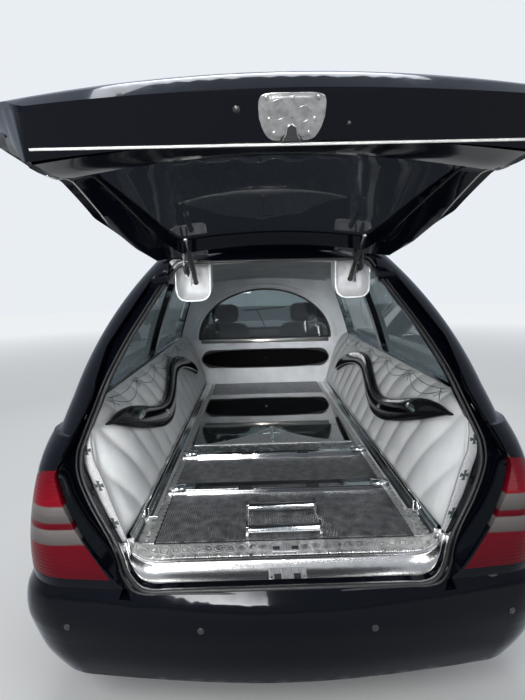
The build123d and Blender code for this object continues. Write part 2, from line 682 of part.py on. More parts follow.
def floor_pan():
    """Floor inside the walls: low in the cabin, a step up to the load floor over the rear axle."""
    low, high = FLOOR_Z, LOAD_FLOOR_Z
    profile = make_face(Polyline(
        (BULKHEAD_X, low), (BULKHEAD_X, low + FLOOR_PLATE), (FLOOR_STEP_X + 40, low + FLOOR_PLATE),
        (FLOOR_STEP_X, high + FLOOR_PLATE), (FLOOR_REAR_X, high + FLOOR_PLATE), (FLOOR_REAR_X, high),
        (FLOOR_STEP_X - 30, high), (FLOOR_STEP_X + 10, low), close=True))
    pan = lower_room() & (Pos(0, FAR / 2, 0) * extrude(Plane.XZ * profile, FAR))
    rear = wheel_space(REAR_AXLE_X, REAR_HOUSE_Y - HOUSE_WALL, ARCH_RADIUS + HOUSE_WALL)
    return biggest(pan - rear - mirrored(rear))


def wheel_house(x, inner_y, radius, inside):
    """Left wheel house: a half drum over the wheel with its inner wall."""
    shell = wheel_space(x, inner_y - HOUSE_WALL, radius + HOUSE_WALL) - wheel_space(x, inner_y, radius)
    shell = shell & block((x - FAR, x + FAR), (0, inner_y + 400), (AXLE_Z + HOUSE_LOW, FAR)) & inside
    return biggest(shell)


def wheel_houses(front_bumper):
    """Both pairs of wheel houses, the front ones fitted behind the bumper."""
    rear = wheel_house(REAR_AXLE_X, REAR_HOUSE_Y, ARCH_RADIUS, HOLLOW)
    front = biggest(wheel_house(FRONT_AXLE_X, FRONT_HOUSE_Y, FRONT_ARCH_RADIUS, BAY) - front_bumper)
    return group(rear, mirrored(rear), front, mirrored(front))


def bulkhead():
    """Firewall between the cabin and the engine, with the cowl panel above it."""
    wall = BAY & block((BULKHEAD_X, BULKHEAD_X + BULKHEAD), (-FAR, FAR), (FLOOR_Z, FAR))
    return biggest(wall + (SHELL & COWL_ZONE))


def bonnet():
    """Top skin over the engine, hinged along its rear edge."""
    under = barrel(BONNET_ARC, BONNET_CROWN, 6200, 4000, WING_WALL)
    return biggest((OUTER & bonnet_cutter()) - under)


def grille():
    """Grille: a frame with horizontal bars in the nose."""
    low, high = GRILLE_Z
    skin = OUTER - outer_form(36)
    zone = block((5600, FAR), (-GRILLE_HALF + 2, GRILLE_HALF - 2), (low + 2, high))
    face = skin & zone
    pitch = (high - low - 20) / GRILLE_BARS
    for i in range(GRILLE_BARS):
        z = low + 12 + pitch * i
        face = face - block((5600, FAR), (-GRILLE_HALF + 22, GRILLE_HALF - 22), (z, z + pitch - 8))
    return biggest(face)


def headlamps():
    lamp = biggest(((OUTER - outer_form(60)) & head_prism()) - bonnet_cutter(GAP))
    return group(lamp, mirrored(lamp))


def tail_lamps():
    lamp = biggest(LAMP_SKIN & lamp_prism() - gate_cutter(GATE_GAP + 4))
    return group(lamp, mirrored(lamp))


def bumper(zone):
    """One bumper: the lowest part of the skin behind or ahead of the wheels."""
    return biggest((OUTER - outer_form(BUMPER_WALL)) & zone - GRILLE_ZONE - sill_room())


def seats():
    """Two front seats: base, cushion, backrest and headrest on its posts."""
    base_z = FLOOR_Z + FLOOR_PLATE
    x = SEAT_X
    parts = []
    for y in (-SEAT_Y, SEAT_Y):
        base = block((x - 210, x + 210), (y - 210, y + 210), (base_z, SEAT_Z))
        cushion = fillet(block((x - 240, x + 270), (y - 250, y + 250), (SEAT_Z, SEAT_Z + 130)).edges(), 40)
        tilt = Pos(x - 275, y, SEAT_Z + 90) * Rot(0, -SEAT_TILT, 0)
        back = tilt * Pos(0, 0, 310) * fillet(Box(130, 500, 620).edges(), 45)
        head = tilt * Pos(0, 0, 700) * fillet(Box(100, 270, 190).edges(), 40)
        post = tilt * Pos(0, 0, 615) * Box(24, 160, 60)
        parts.append(base + cushion + back + head + post)
    return group(*parts)


def dashboard():
    """Dashboard across the cabin, with the binnacle over the steering column."""
    face = make_face(Polyline((4250, 640), (4190, 830), (4230, 940), (4400, 985), (4540, 975), (4540, 700),
                              (4380, 600), close=True))
    board = Pos(0, 745, 0) * extrude(Plane.XZ * fillet(face.vertices(), 20), 1490)
    low = lofted(inset(LOWER, DOOR_WALL + 4, GATE_WALL, 60))
    return biggest(board & low)


def steering_wheel():
    """Ring, boss and three spokes square to the column."""
    ring = Torus(185, 15)
    boss = Cylinder(42, 40)
    wheel_ = ring + boss
    for angle in (0, 90, 180):
        wheel_ = wheel_ + Rot(0, 0, angle - 90) * Pos(110, 0, 0) * Box(150, 30, 12)
    hub_x, hub_z = STEER_HUB
    return Pos(hub_x, STEER_Y, hub_z) * Rot(0, -(90 - STEER_TILT), 0) * Rot(0, 0, 90) * wheel_


def steering_column():
    hub_x, hub_z = STEER_HUB
    a = radians(STEER_TILT)
    start = (hub_x + 24 * cos(a), STEER_Y, hub_z - 24 * sin(a))
    end = (hub_x + 420 * cos(a), STEER_Y, hub_z - 420 * sin(a))
    return biggest(rod_between(start, end, 28) - dashboard())


def engine():
    return block((4680, 5380), (-290, 290), (275, 800))


def exhaust():
    """Silencer under the load floor with its long pipe."""
    z = EXHAUST_Z
    pipe = rod_between((300, -420, z), (4300, -250, z), 26)
    box = Pos(560, -409, z) * Rot(0, 0, 2.4) * Box(400, 190, 120)
    return pipe + box


def overall_middle(shapes):
    """Middle of the whole car's box in X, where the origin stands."""
    boxes = [shape.bounding_box() for shape in shapes.values()]
    return (min(box.min.X for box in boxes) + max(box.max.X for box in boxes)) / 2


def build():
    """Every sub-part by name, at rest with the tailgate open."""
    side, roof, wing = body_panels()
    left_door, left_glass = door(), door_glass()
    gate = tailgate()
    front_bumper = bumper(FRONT_BUMPER_ZONE)
    tube, rod = strut(STRUT_Y)
    left_knuckle = knuckle()
    nodes = {
        "side_left": side, "side_right": mirrored(side), "roof": roof, "front_wings": group(wing, mirrored(wing)),
        "floor_pan": floor_pan(), "wheel_houses": wheel_houses(front_bumper), "bulkhead": bulkhead(),
        "rear_bumper": bumper(REAR_BUMPER_ZONE), "front_bumper": front_bumper,
        "grille": grille(), "headlamps": headlamps(), "tail_lamps": tail_lamps(),
        "windscreen": windscreen(), "side_windows": side_windows(), "bonnet": bonnet(),
        "door_left": left_door, "door_right": mirrored(left_door),
        "door_glass_left": left_glass, "door_glass_right": mirrored(left_glass),
        "tailgate": opened(gate), "tailgate_glass": opened(tailgate_glass()),
        "tailgate_arms": opened(tailgate_arms(gate)), "hinge_mounts": hinge_mounts(), "hinge_covers": hinge_covers(),
        "strut_tube_left": tube, "strut_tube_right": mirrored(tube),
        "strut_rod_left": rod, "strut_rod_right": mirrored(rod),
        "headlining": headlining(), "partition": partition(), "partition_glass": partition_glass(),
        "deck": deck(), "deck_fittings": deck_fittings(), "sill_tray": sill_tray(),
        "side_cushions": pair(side_cushion()), "scroll_arms": pair(scroll_arm()),
        "seats": seats(), "dashboard": dashboard(), "steering_column": steering_column(),
        "steering_wheel": steering_wheel(), "engine": engine(), "exhaust": exhaust(), "axles": axles(),
        "knuckle_left": left_knuckle, "knuckle_right": mirrored(left_knuckle),
    }
    for place, x in (("rear", REAR_AXLE_X), ("front", FRONT_AXLE_X)):
        for hand, y in (("left", WHEEL_Y), ("right", -WHEEL_Y)):
            tyre, rim = wheel(x, y)
            nodes[f"tyre_{place}_{hand}"] = tyre
            nodes[f"rim_{place}_{hand}"] = rim
    return nodes


NODES = build()
MIDDLE_X = overall_middle(NODES)
os.makedirs("parts", exist_ok=True)
for name, shape in NODES.items():
    export_step(Pos(-MIDDLE_X, 0, 0) * shape, f"parts/{name}.step")
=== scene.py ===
# A hearse with its tailgate open: black estate body, glazed load space, padded white sides,
# polished deck and ribbed mats. Metres, in the CAD frame: X forward, Y to the car's left, Z up.
import json
from math import radians
import bmesh
import bpy
import numpy as np
from mathutils import Matrix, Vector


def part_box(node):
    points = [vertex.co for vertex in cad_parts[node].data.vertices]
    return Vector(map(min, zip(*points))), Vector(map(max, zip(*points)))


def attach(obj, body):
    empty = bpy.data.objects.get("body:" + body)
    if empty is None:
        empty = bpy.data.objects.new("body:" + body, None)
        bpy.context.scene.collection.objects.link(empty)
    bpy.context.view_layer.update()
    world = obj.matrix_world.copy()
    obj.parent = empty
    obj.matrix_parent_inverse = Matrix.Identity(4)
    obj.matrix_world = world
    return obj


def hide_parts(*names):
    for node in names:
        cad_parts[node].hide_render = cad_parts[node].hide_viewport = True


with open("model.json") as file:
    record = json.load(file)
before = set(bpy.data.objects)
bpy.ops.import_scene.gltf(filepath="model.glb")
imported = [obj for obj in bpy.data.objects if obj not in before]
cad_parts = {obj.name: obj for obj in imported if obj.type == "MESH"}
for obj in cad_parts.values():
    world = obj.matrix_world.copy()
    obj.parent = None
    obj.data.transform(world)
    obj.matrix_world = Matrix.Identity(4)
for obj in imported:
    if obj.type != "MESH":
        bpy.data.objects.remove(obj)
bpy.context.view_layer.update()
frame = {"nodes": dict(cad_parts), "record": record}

# The camera stands 1.45 m behind the rear bumper at eye height, tilted a little down. Lengths
# along the car are written from the bumper's rear plane, which is 1.15 m behind the rear axle.
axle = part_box("tyre_rear_left")
ZERO = (axle[0].x + axle[1].x) / 2 - 1.150
view = bpy.data.cameras.new("camera")
view.sensor_width = 36
view.lens = 36 * 500 / 700
camera = bpy.data.objects.new("camera", view)
camera.matrix_world = (Matrix.Translation((ZERO - 1.450, 0.085, 1.520))
                       @ Matrix.Rotation(radians(-90.74), 4, "Z")
                       @ Matrix.Rotation(radians(82.43), 4, "X") @ Matrix.Rotation(radians(-1.4), 4, "Z"))
bpy.context.scene.collection.objects.link(camera)
bpy.context.scene.camera = camera
bpy.context.scene.view_settings.view_transform = "Standard"


# Pale studio: a floor disc on the ground, a white surround, three broad soft lamps and one low one that
# reaches into the load space.
def new_material(name):
    """An empty node material with its shader and its output joined."""
    made = bpy.data.materials.new(name)
    made.use_nodes = True
    made.node_tree.nodes.clear()
    shader = made.node_tree.nodes.new("ShaderNodeBsdfPrincipled")
    output = made.node_tree.nodes.new("ShaderNodeOutputMaterial")
    made.node_tree.links.new(shader.outputs[0], output.inputs[0])
    return made, shader


def mesh_object(name, points, faces, material, smooth=True):
    """A mesh object at the origin from arrays of points and faces."""
    mesh = bpy.data.meshes.new(name)
    mesh.from_pydata(np.asarray(points, float).reshape(-1, 3).tolist(), [], np.asarray(faces).tolist())
    mesh.polygons.foreach_set("use_smooth", np.full(len(mesh.polygons), smooth))
    mesh.materials.append(material)
    made = bpy.data.objects.new(name, mesh)
    bpy.context.scene.collection.objects.link(made)
    return made


floor_paint, floor_shader = new_material("studio_floor")
floor_shader.inputs["Base Color"].default_value = (0.62, 0.62, 0.61, 1)
floor_shader.inputs["Roughness"].default_value = 0.7
floor_tree = floor_paint.node_tree
spot, far, span, eye, glow = (floor_tree.nodes.new("ShaderNode" + kind)
                              for kind in ("NewGeometry", "VectorMath", "MapRange", "LightPath", "Math"))
far.operation, glow.operation = "LENGTH", "MULTIPLY"
span.inputs["From Min"].default_value, span.inputs["From Max"].default_value = 4.0, 15.0
span.inputs["To Max"].default_value = 0.55
for a, b in ((spot.outputs["Position"], far.inputs[0]), (far.outputs["Value"], span.inputs["Value"]),
             (span.outputs["Result"], glow.inputs[0]),
             (eye.outputs["Is Camera Ray"], glow.inputs[1]),
             (glow.outputs[0], floor_shader.inputs["Emission Strength"])):
    floor_tree.links.new(a, b)
ring = np.linspace(0, 2 * np.pi, 97)[:-1]
floor = mesh_object("studio_floor", np.c_[30 * np.cos(ring), 30 * np.sin(ring), 0 * ring - 0.0005],
                    [list(range(96))], floor_paint)
world = bpy.data.worlds.new("surround")
bpy.context.scene.world = world
world.use_nodes = True
tree = world.node_tree
tree.nodes.clear()
ray = tree.nodes.new("ShaderNodeLightPath")
seen = tree.nodes.new("ShaderNodeMath")
seen.operation = "MAXIMUM"
tree.links.new(ray.outputs["Is Camera Ray"], seen.inputs[0])
tree.links.new(ray.outputs["Is Transmission Ray"], seen.inputs[1])
soft, backdrop, both = (tree.nodes.new(kind) for kind in
                        ("ShaderNodeBackground", "ShaderNodeBackground", "ShaderNodeMixShader"))
soft.inputs[0].default_value = (0.80, 0.86, 0.95, 1)
soft.inputs[1].default_value = 0.55
backdrop.inputs[0].default_value = (0.86, 0.90, 0.95, 1)
backdrop.inputs[1].default_value = 0.95
tree.links.new(seen.outputs[0], both.inputs[0])
tree.links.new(soft.outputs[0], both.inputs[1])
tree.links.new(backdrop.outputs[0], both.inputs[2])
tree.links.new(both.outputs[0], tree.nodes.new("ShaderNodeOutputWorld").inputs[0])
# lamp, place, aim, size, power, spread in degrees
LAMPS = [("key", (-7.5, 3.2, 5.6), (-2.4, 0, 0.9), 3.6, 270, 180),
         ("fill", (-6.5, -4.6, 3.4), (-2.2, 0, 0.8), 3.0, 120, 180),
         ("overhead", (1.4, 0.0, 6.5), (0.6, 0, 0.8), 4.6, 250, 180),
         ("interior", (-6.4, 0.9, 2.05), (0.2, -0.1, 1.0), 1.5, 15, 34)]
for name, place, aim, size, power, spread in LAMPS:
    lamp = bpy.data.lights.new(name, "AREA")
    lamp.shape, lamp.size, lamp.energy, lamp.spread = "SQUARE", size, power, radians(spread)
    stand = bpy.data.objects.new(name, lamp)
    toward = Matrix.Translation(place).to_translation() - Matrix.Translation(aim).to_translation()
    stand.matrix_world = Matrix.Translation(place) @ toward.to_track_quat("Z", "Y").to_matrix().to_4x4()
    bpy.context.scene.collection.objects.link(stand)


# The painted panels keep their pressed shape. Each is the CAD panel with its facets shaded as
# one curved skin and its cut edges rolled, in deep black lacquer under clear coat.
def nodes_of(material):
    """Short ways to add a node to a material and to join two sockets."""
    tree = material.node_tree

    def add(kind, **values):
        node = tree.nodes.new("ShaderNode" + kind)
        for key, value in values.items():
            if key in node.inputs.keys():
                node.inputs[key].default_value = value
            else:
                setattr(node, key, value)
        return node

    def join(a, b):
        tree.links.new(a, b)
        return b.node
    return add, join


def finish(name, colour, rough, metal=0.0, coat=0.0, speck=0.04, speck_scale=60.0, bump=0.0, bump_scale=300.0,
           second=None, stretch=(1, 1, 1), **sockets):
    """A finish whose colour and roughness drift with noise on Object coordinates, with a fine bump.

    colour + speck * noise(speck_scale * p) and roughness + 0.15 * noise, height = bump * noise(bump_scale * p)."""
    made, shader = new_material(name)
    add, join = nodes_of(made)
    place = add("TexCoord")
    turn = add("Mapping", Scale=stretch)
    join(place.outputs["Object"], turn.inputs["Vector"])
    grain = add("TexNoise", Scale=speck_scale, Detail=4.0)
    join(turn.outputs[0], grain.inputs["Vector"])
    ramp = add("ValToRGB")
    second = second or tuple(min(1.0, c * (1 + speck * 6) + speck * 0.12) for c in colour)
    ramp.color_ramp.elements[0].position, ramp.color_ramp.elements[1].position = 0.35, 0.72
    ramp.color_ramp.elements[0].color = (*colour, 1)
    ramp.color_ramp.elements[1].color = (*second, 1)
    join(grain.outputs["Fac"], ramp.inputs["Fac"])
    join(ramp.outputs["Color"], shader.inputs["Base Color"])
    wear = add("MapRange")
    wear.inputs["To Min"].default_value = max(0.02, rough * 0.82)
    wear.inputs["To Max"].default_value = min(1.0, rough * 1.22)
    join(grain.outputs["Fac"], wear.inputs["Value"])
    join(wear.outputs["Result"], shader.inputs["Roughness"])
    shader.inputs["Metallic"].default_value = metal
    shader.inputs["Coat Weight"].default_value = coat
    shader.inputs["Coat Roughness"].default_value = 0.03
    for key, value in sockets.items():
        shader.inputs[key.replace("_", " ")].default_value = value
    if bump:
        fine = add("TexNoise", Scale=bump_scale, Detail=3.0)
        join(turn.outputs[0], fine.inputs["Vector"])
        raised = add("Bump", Strength=1.0, Distance=bump)
        join(fine.outputs["Fac"], raised.inputs["Height"])
        join(raised.outputs["Normal"], shader.inputs["Normal"])
    return made


WAIST = np.polyfit((0.235, 0.430, 0.640, 0.880, 1.000), (0.130, 0.062, 0.050, 0.122, 0.205), 4)
HINGE, OPEN = (ZERO + 0.855, 1.580), radians(66)
GATE_DEPTH = 0.100
# the gate's shut line: heights and half widths; then how much fuller the scene makes it by the lamps
SHUT_Z, SHUT_Y = (0.548, 0.890, 1.000, 1.290, 1.720), (0.553, 0.723, 0.723, 0.676, 0.438)
FULLER_Z = (0.540, 0.579, 0.6465, 0.727, 0.808, 0.884, 0.940, 0.992, 1.050, 1.110)
FULLER_Y = (0, 0.007, 0.026, 0.045, 0.057, 0.055, 0.045, 0.026, 0.012, 0)


def gate_inner(y, z):
    """X of the shut gate's inner face: up to the belt a quartic in z plus a tenth of a metre, above it a
    quadratic, both bowed forward with the square of y and blended over twelve centimetres."""
    low = np.polyval(WAIST, np.minimum(z, 1.06)) + GATE_DEPTH + 0.078 * (y / 0.775) ** 2
    high = 0.274 + 0.773 * (z - 1) + 0.183 * (z - 1) ** 2 + 0.080 * (y / 0.755) ** 2
    t = np.clip((z - 1.0) / 0.12, 0, 1)
    t = t * t * (3 - 2 * t)
    return low * (1 - t) + high * t


def swung(points, angle):
    """Points turned about the tailgate's hinge: x' = x cos a + z sin a, z' = z cos a - x sin a."""
    x, z = points[:, 0] - HINGE[0], points[:, 2] - HINGE[1]
    turned = points.copy()
    turned[:, 0] = HINGE[0] + x * np.cos(angle) + z * np.sin(angle)
    turned[:, 2] = HINGE[1] + z * np.cos(angle) - x * np.sin(angle)
    return turned


def gate_thin(z):
    """The share of the shut gate's 100 mm depth that is kept at each height, beside and below its glass."""
    return np.interp(z, (0.600, 0.680, 0.800, 1.120, 1.250, 1.400), (1, 0.36, 0.15, 0.17, 0.55, 1))


def rear_form(points, gate=False, bumper=False):
    """The rear end's fuller line round the lamps: y grows by up to 57 mm at the gate's edge, easing to
    nothing at the centre line, at the body's side and 0.6 m forward. On the gate the inner face also comes
    nearer to the skin beside and below the glass, and the skin swells by 30 mm above its lower edge. The bumper
    swells by up to 68 mm away from a point 0.55 m inside it, and its lower edge drops by 44 mm."""
    x, y, z = points[:, 0] - ZERO, points[:, 1], points[:, 2]
    body_half, gate_swell, bumper_drop, bumper_middle = 0.905, 0.030, 0.044, 0.55
    edge = np.interp(z, SHUT_Z, SHUT_Y)
    grow = np.interp(z, FULLER_Z, FULLER_Y) * np.clip((0.62 - x) / 0.20, 0, 1)
    outside = np.clip((body_half - np.abs(y)) / (body_half - edge), 0, 1)
    share = np.where(np.abs(y) < edge, np.abs(y) / edge, outside)
    formed = points.copy()
    formed[:, 1] = y + np.sign(y) * grow * share
    if gate:
        depth = x - (gate_inner(y, z) - GATE_DEPTH)
        thinned = np.where(depth > 0, depth * (gate_thin(z) - 1), 0)
        swell = np.interp(z, (0.548, 0.60, 0.68, 0.80, 0.95), (0, 0.7, 1, 0.6, 0)) * (1 - (y / 0.8) ** 2)
        formed[:, 0] = points[:, 0] + thinned - gate_swell * swell * np.clip(1 - depth / 0.09, 0, 1)
    if bumper:
        swell = np.interp(z, (0.235, 0.30, 0.36, 0.42, 0.48, 0.542), (0.066, 0.068, 0.060, 0.056, 0.037, 0))
        swell = swell * np.clip((0.75 - x) / 0.30, 0, 1)
        back = np.minimum(x - bumper_middle, 0)
        reach = np.hypot(back, y) + 1e-9
        formed[:, 0] += swell * back / reach
        formed[:, 1] += swell * y / reach
        formed[:, 2] -= bumper_drop * np.clip((0.46 - z) / 0.225, 0, 1)
    return formed


REFORMED = ("side_left", "side_right", "tail_lamps", "tailgate", "tailgate_glass", "rear_bumper")


def skin(node, material, edge=0.0015, angle=24):
    """The node's own mesh merged and shaded smooth, with its corners rolled by `edge`. Pieces at the rear
    end are first cut into bands 30 to 60 mm wide and take the rear form."""
    mesh = frame["nodes"][node].data.copy()
    shape = bmesh.new()
    shape.from_mesh(mesh)
    bmesh.ops.remove_doubles(shape, verts=shape.verts, dist=1e-5)
    bmesh.ops.dissolve_degenerate(shape, edges=shape.edges, dist=1e-5)
    if node in REFORMED:
        gate = node.startswith("tailgate")
        if gate:
            shut = swung(np.array([v.co for v in shape.verts]), -OPEN)
            for vertex, place in zip(shape.verts, shut):
                vertex.co = place
        bumper = node == "rear_bumper"
        heights = np.arange(0.26, 0.54, 0.03) if bumper else np.arange(0.55, 1.30, 0.05)
        cuts = [((0, 0, height), (0, 0, 1)) for height in heights]
        cuts += [((0, across, 0), (0, 1, 0)) for across in np.arange(-0.84, 0.85, 0.06) if bumper]
        for through, facing in cuts:
            bmesh.ops.bisect_plane(shape, geom=shape.verts[:] + shape.edges[:] + shape.faces[:],
                                   plane_co=through,
                                   plane_no=facing, dist=1e-5)
        formed = rear_form(np.array([v.co for v in shape.verts]), gate, bumper)
        if gate:
            formed = swung(formed, OPEN)
        for vertex, place in zip(shape.verts, formed):
            vertex.co = place
        if bumper:
            shape.normal_update()
            inner = [v for v in shape.verts
                     if min((v.normal.dot(f.normal) for f in v.link_faces), default=0) > 0.93]
            for _ in range(4):
                bmesh.ops.smooth_vert(shape, verts=inner, factor=0.5, use_axis_x=True, use_axis_y=True,
                                      use_axis_z=True)
    shape.to_mesh(mesh)
    shape.free()
    mesh.polygons.foreach_set("use_smooth", np.ones(len(mesh.polygons), bool))
    mesh.set_sharp_from_angle(angle=radians(angle))
    mesh.materials.clear()
    mesh.materials.append(material)
    made = bpy.data.objects.new("skin_" + node, mesh)
    bpy.context.scene.collection.objects.link(made)
    if edge:
        roll = made.modifiers.new("rolled_edges", "BEVEL")
        roll.limit_method, roll.angle_limit = "ANGLE", radians(angle + 6)
        roll.width, roll.segments, roll.harden_normals = edge, 2, True
    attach(made, BODY_OF[node])
    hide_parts(node)
    return made


BODY_OF = {node: body for body, group in frame["record"]["behaviour"]["bodies"].items() for node in group}
# The clear coat is tinted blue: a painted blue cast on the paint's reflections.
lacquer = finish("black_lacquer", (0.0018, 0.0022, 0.0040), 0.12, coat=0.55, speck=0.003, speck_scale=900.0,
                 bump=0.00001, bump_scale=260.0, Specular_IOR_Level=0.05, Coat_IOR=1.28,
                 Coat_Tint=(0.72, 0.83, 1.0, 1))
grey_cloth = finish("grey_leathercloth", (0.50, 0.52, 0.54), 0.55, speck=0.05, speck_scale=5.0, bump=0.0004,
                    bump_scale=320.0)
dark_trim = finish("dark_trim", (0.022, 0.022, 0.024), 0.55, speck=0.05, speck_scale=12.0, bump=0.0004,
                   bump_scale=420.0)


def lined(panel, cloth, low, high, above):
    """The faces of a panel that look inwards, between two distances along the car and over a height, take
    a lining."""
    panel.data.materials.append(cloth)
    for face in panel.data.polygons:
        x, y, z = face.center
        if low < x - ZERO < high and z > above and face.normal.y * y < -0.12 * abs(y):
            face.material_index = 1


for node in ("side_left", "side_right", "roof", "front_wings", "bonnet", "rear_bumper", "front_bumper",
             "door_left", "door_right", "tailgate"):
    panel = skin(node, lacquer)
    if node.startswith("side"):
        lined(panel, grey_cloth, 0.86, 4.0, 1.0)
    if node.startswith("door"):
        lined(panel, dark_trim, 3.0, 4.6, 0.3)


# Window glass: dark tinted panes bonded into the body sides, doors and tailgate, and a clearer
# laminated windscreen. The CAD panes keep their shape and take the glass in their own slots.
def glass_finish(name, tint, clear, rough=0.02):
    """Tinted glass: the tint drifts a little across the pane, and `clear` of the light goes through."""
    return finish(name, tint, rough, speck=0.02, speck_scale=2.0, Transmission_Weight=clear, IOR=1.45)


privacy_glass = glass_finish("privacy_glass", (0.30, 0.36, 0.37), 0.9)
screen_glass = glass_finish("screen_glass", (0.62, 0.70, 0.68), 0.96)
gate_glass = glass_finish("gate_glass", (0.018, 0.021, 0.026), 0.8)


def dress(node, material):
    """A CAD node that stays gets this material in each of its slots."""
    kept = frame["nodes"][node]
    if not kept.data.materials:
        kept.data.materials.append(material)
    for place in kept.material_slots:
        place.material = material


for node, material in (("side_windows", privacy_glass), ("door_glass_left", screen_glass),
                       ("door_glass_right", screen_glass), ("windscreen", screen_glass),
                       ("partition_glass", glass_finish("partition_glass", (0.28, 0.32, 0.34), 0.92))):
    dress(node, material)
skin("tailgate_glass", gate_glass, 0)


# What carries the car: pressed steel floor, wheel houses and bulkhead under thick black paint, cast
# axle parts, a grey cast engine and a dull steel exhaust.
# The same near-black underseal also paints the shade in the holes, slots and wells of the fittings.
underseal_and_painted_shade = finish("underseal_and_painted_shade", (0.012, 0.012, 0.013), 0.62, speck=0.05, speck_scale=30.0, bump=0.0012,
                   bump_scale=140.0)
cast_iron = finish("cast_iron", (0.055, 0.052, 0.05), 0.55, metal=0.7, speck=0.2, speck_scale=45.0, bump=0.0005,
                   bump_scale=220.0)
dull_steel = finish("dull_steel", (0.30, 0.28, 0.26), 0.42, metal=1.0, speck=0.3, speck_scale=18.0, bump=0.0002,
                    bump_scale=160.0)
for node, material in (("floor_pan", underseal_and_painted_shade), ("wheel_houses", underseal_and_painted_shade), ("bulkhead", underseal_and_painted_shade),
                       ("axles", cast_iron), ("engine", cast_iron), ("exhaust", dull_steel)):
    skin(node, material, 0.002 if node in ("engine", "exhaust", "axles") else 0)
for node in ("knuckle_left", "knuckle_right"):
    skin(node, cast_iron, 0.002)


# Grid surfaces: every new piece is worked out as whole arrays and laid down with these.
def patch(name, points, material, close_u=False, close_v=False, smooth=True, caps=False):
    """Quads over an array of points (rows, columns, xyz); a closed direction joins its last line to its first,
    and caps close the first and the last row with one face each. Capped or closed-round patches get outward normals."""
    n, m = points.shape[:2]
    i, j = np.meshgrid(np.arange(n - (not close_u)), np.arange(m - (not close_v)), indexing="ij")
    i, j = i.ravel(), j.ravel()
    i2, j2 = (i + 1) % n, (j + 1) % m
    faces = np.c_[i * m + j, i2 * m + j, i2 * m + j2, i * m + j2].tolist()
    if caps:
        faces += [list(range(m)), list(range((n - 1) * m, n * m))]
    mesh = bpy.data.meshes.new(name)
    mesh.from_pydata(points.reshape(-1, 3).tolist(), [], faces)
    shape = bmesh.new()
    shape.from_mesh(mesh)
    bmesh.ops.remove_doubles(shape, verts=shape.verts, dist=2e-6)
    if caps or close_v:
        bmesh.ops.recalc_face_normals(shape, faces=shape.faces)
    shape.to_mesh(mesh)
    shape.free()
    mesh.polygons.foreach_set("use_smooth", np.full(len(mesh.polygons), smooth))
    mesh.materials.append(material)
    made = bpy.data.objects.new(name, mesh)
    bpy.context.scene.collection.objects.link(made)
    return made


def spline(points, count, closed=False):
    """`count` points evenly spaced along a smooth curve through the given ones: cubic pieces whose slope
    at each point is half the step from its neighbour before to the one after."""
    p = np.asarray(points, float)
    if closed:
        p = np.r_[p[-1:], p, p[:2]]
    else:
        p = np.r_[2 * p[:1] - p[1:2], p, 2 * p[-1:] - p[-2:-1]]
    t = np.linspace(0, len(p) - 3, 24 * (len(p) - 3) + 1)
    k = np.minimum(t.astype(int), len(p) - 4)
    f = (t - k)[:, None]
    a, b, c, d = p[k], p[k + 1], p[k + 2], p[k + 3]
    fine = 0.5 * (2 * b + (c - a) * f + (2 * a - 5 * b + 4 * c - d) * f ** 2 + (3 * b - a - 3 * c + d) * f ** 3)
    run = np.r_[0, np.cumsum(np.linalg.norm(np.diff(fine, axis=0), axis=1))]
    want = np.linspace(0, run[-1], count + closed)[:count]
    return np.stack([np.interp(want, run, fine[:, q]) for q in range(fine.shape[1])], -1)


def sweep(name, path, section, up, material, closed=False, smooth=True):
    """A section (points of y, z, or one such set for each point of the path) carried along a path. Its second
    axis stays as near `up` as it can while square to the path."""
    path, section = np.asarray(path, float), np.asarray(section, float)
    along = np.roll(path, -1, 0) - np.roll(path, 1, 0) if closed else np.gradient(path, axis=0)
    along /= np.linalg.norm(along, axis=1)[:, None]
    up = np.broadcast_to(np.asarray(up, float), path.shape)
    side = np.cross(along, up)
    side /= np.linalg.norm(side, axis=1)[:, None]
    top = np.cross(side, along)
    section = section if section.ndim == 3 else np.broadcast_to(section, (len(path), *section.shape))
    points = path[:, None] + section[..., :1] * side[:, None] + section[..., 1:] * top[:, None]
    return patch(name, points, material, close_u=closed, close_v=True, smooth=smooth, caps=not closed)


def full(wave, power):
    """A sine or a cosine made fuller, for superellipses: its sign times its size to a power."""
    return np.sign(wave) * np.abs(wave) ** power


def circle(count):
    """Cosines and sines of evenly spaced angles round a full turn."""
    a = np.linspace(0, 2 * np.pi, count + 1)[:-1]
    return np.cos(a), np.sin(a)


def ring_section(width, height, count=12, power=2.0):
    """Closed section: a superellipse of that width and height."""
    c, s = circle(count)
    return np.c_[width / 2 * full(c, 2 / power), height / 2 * full(s, 2 / power)]


def bar_section(width, height, roll=0.002):
    """Closed section: a rectangle with its corners cut by `roll`."""
    w, h = width / 2, height / 2
    return np.array([(w, roll - h), (w, h - roll), (w - roll, h), (roll - w, h), (-w, h - roll), (-w, roll - h),
                     (roll - w, -h), (w - roll, -h)])


def place(points):
    """Lengths along the car are counted from the rear bumper's plane, so they shift by ZERO."""
    return np.asarray(points, float) + (ZERO, 0, 0)


def both_sides(make):
    """The same piece for the left and for the right side: make(1) and make(-1)."""
    return [make(1), make(-1)]


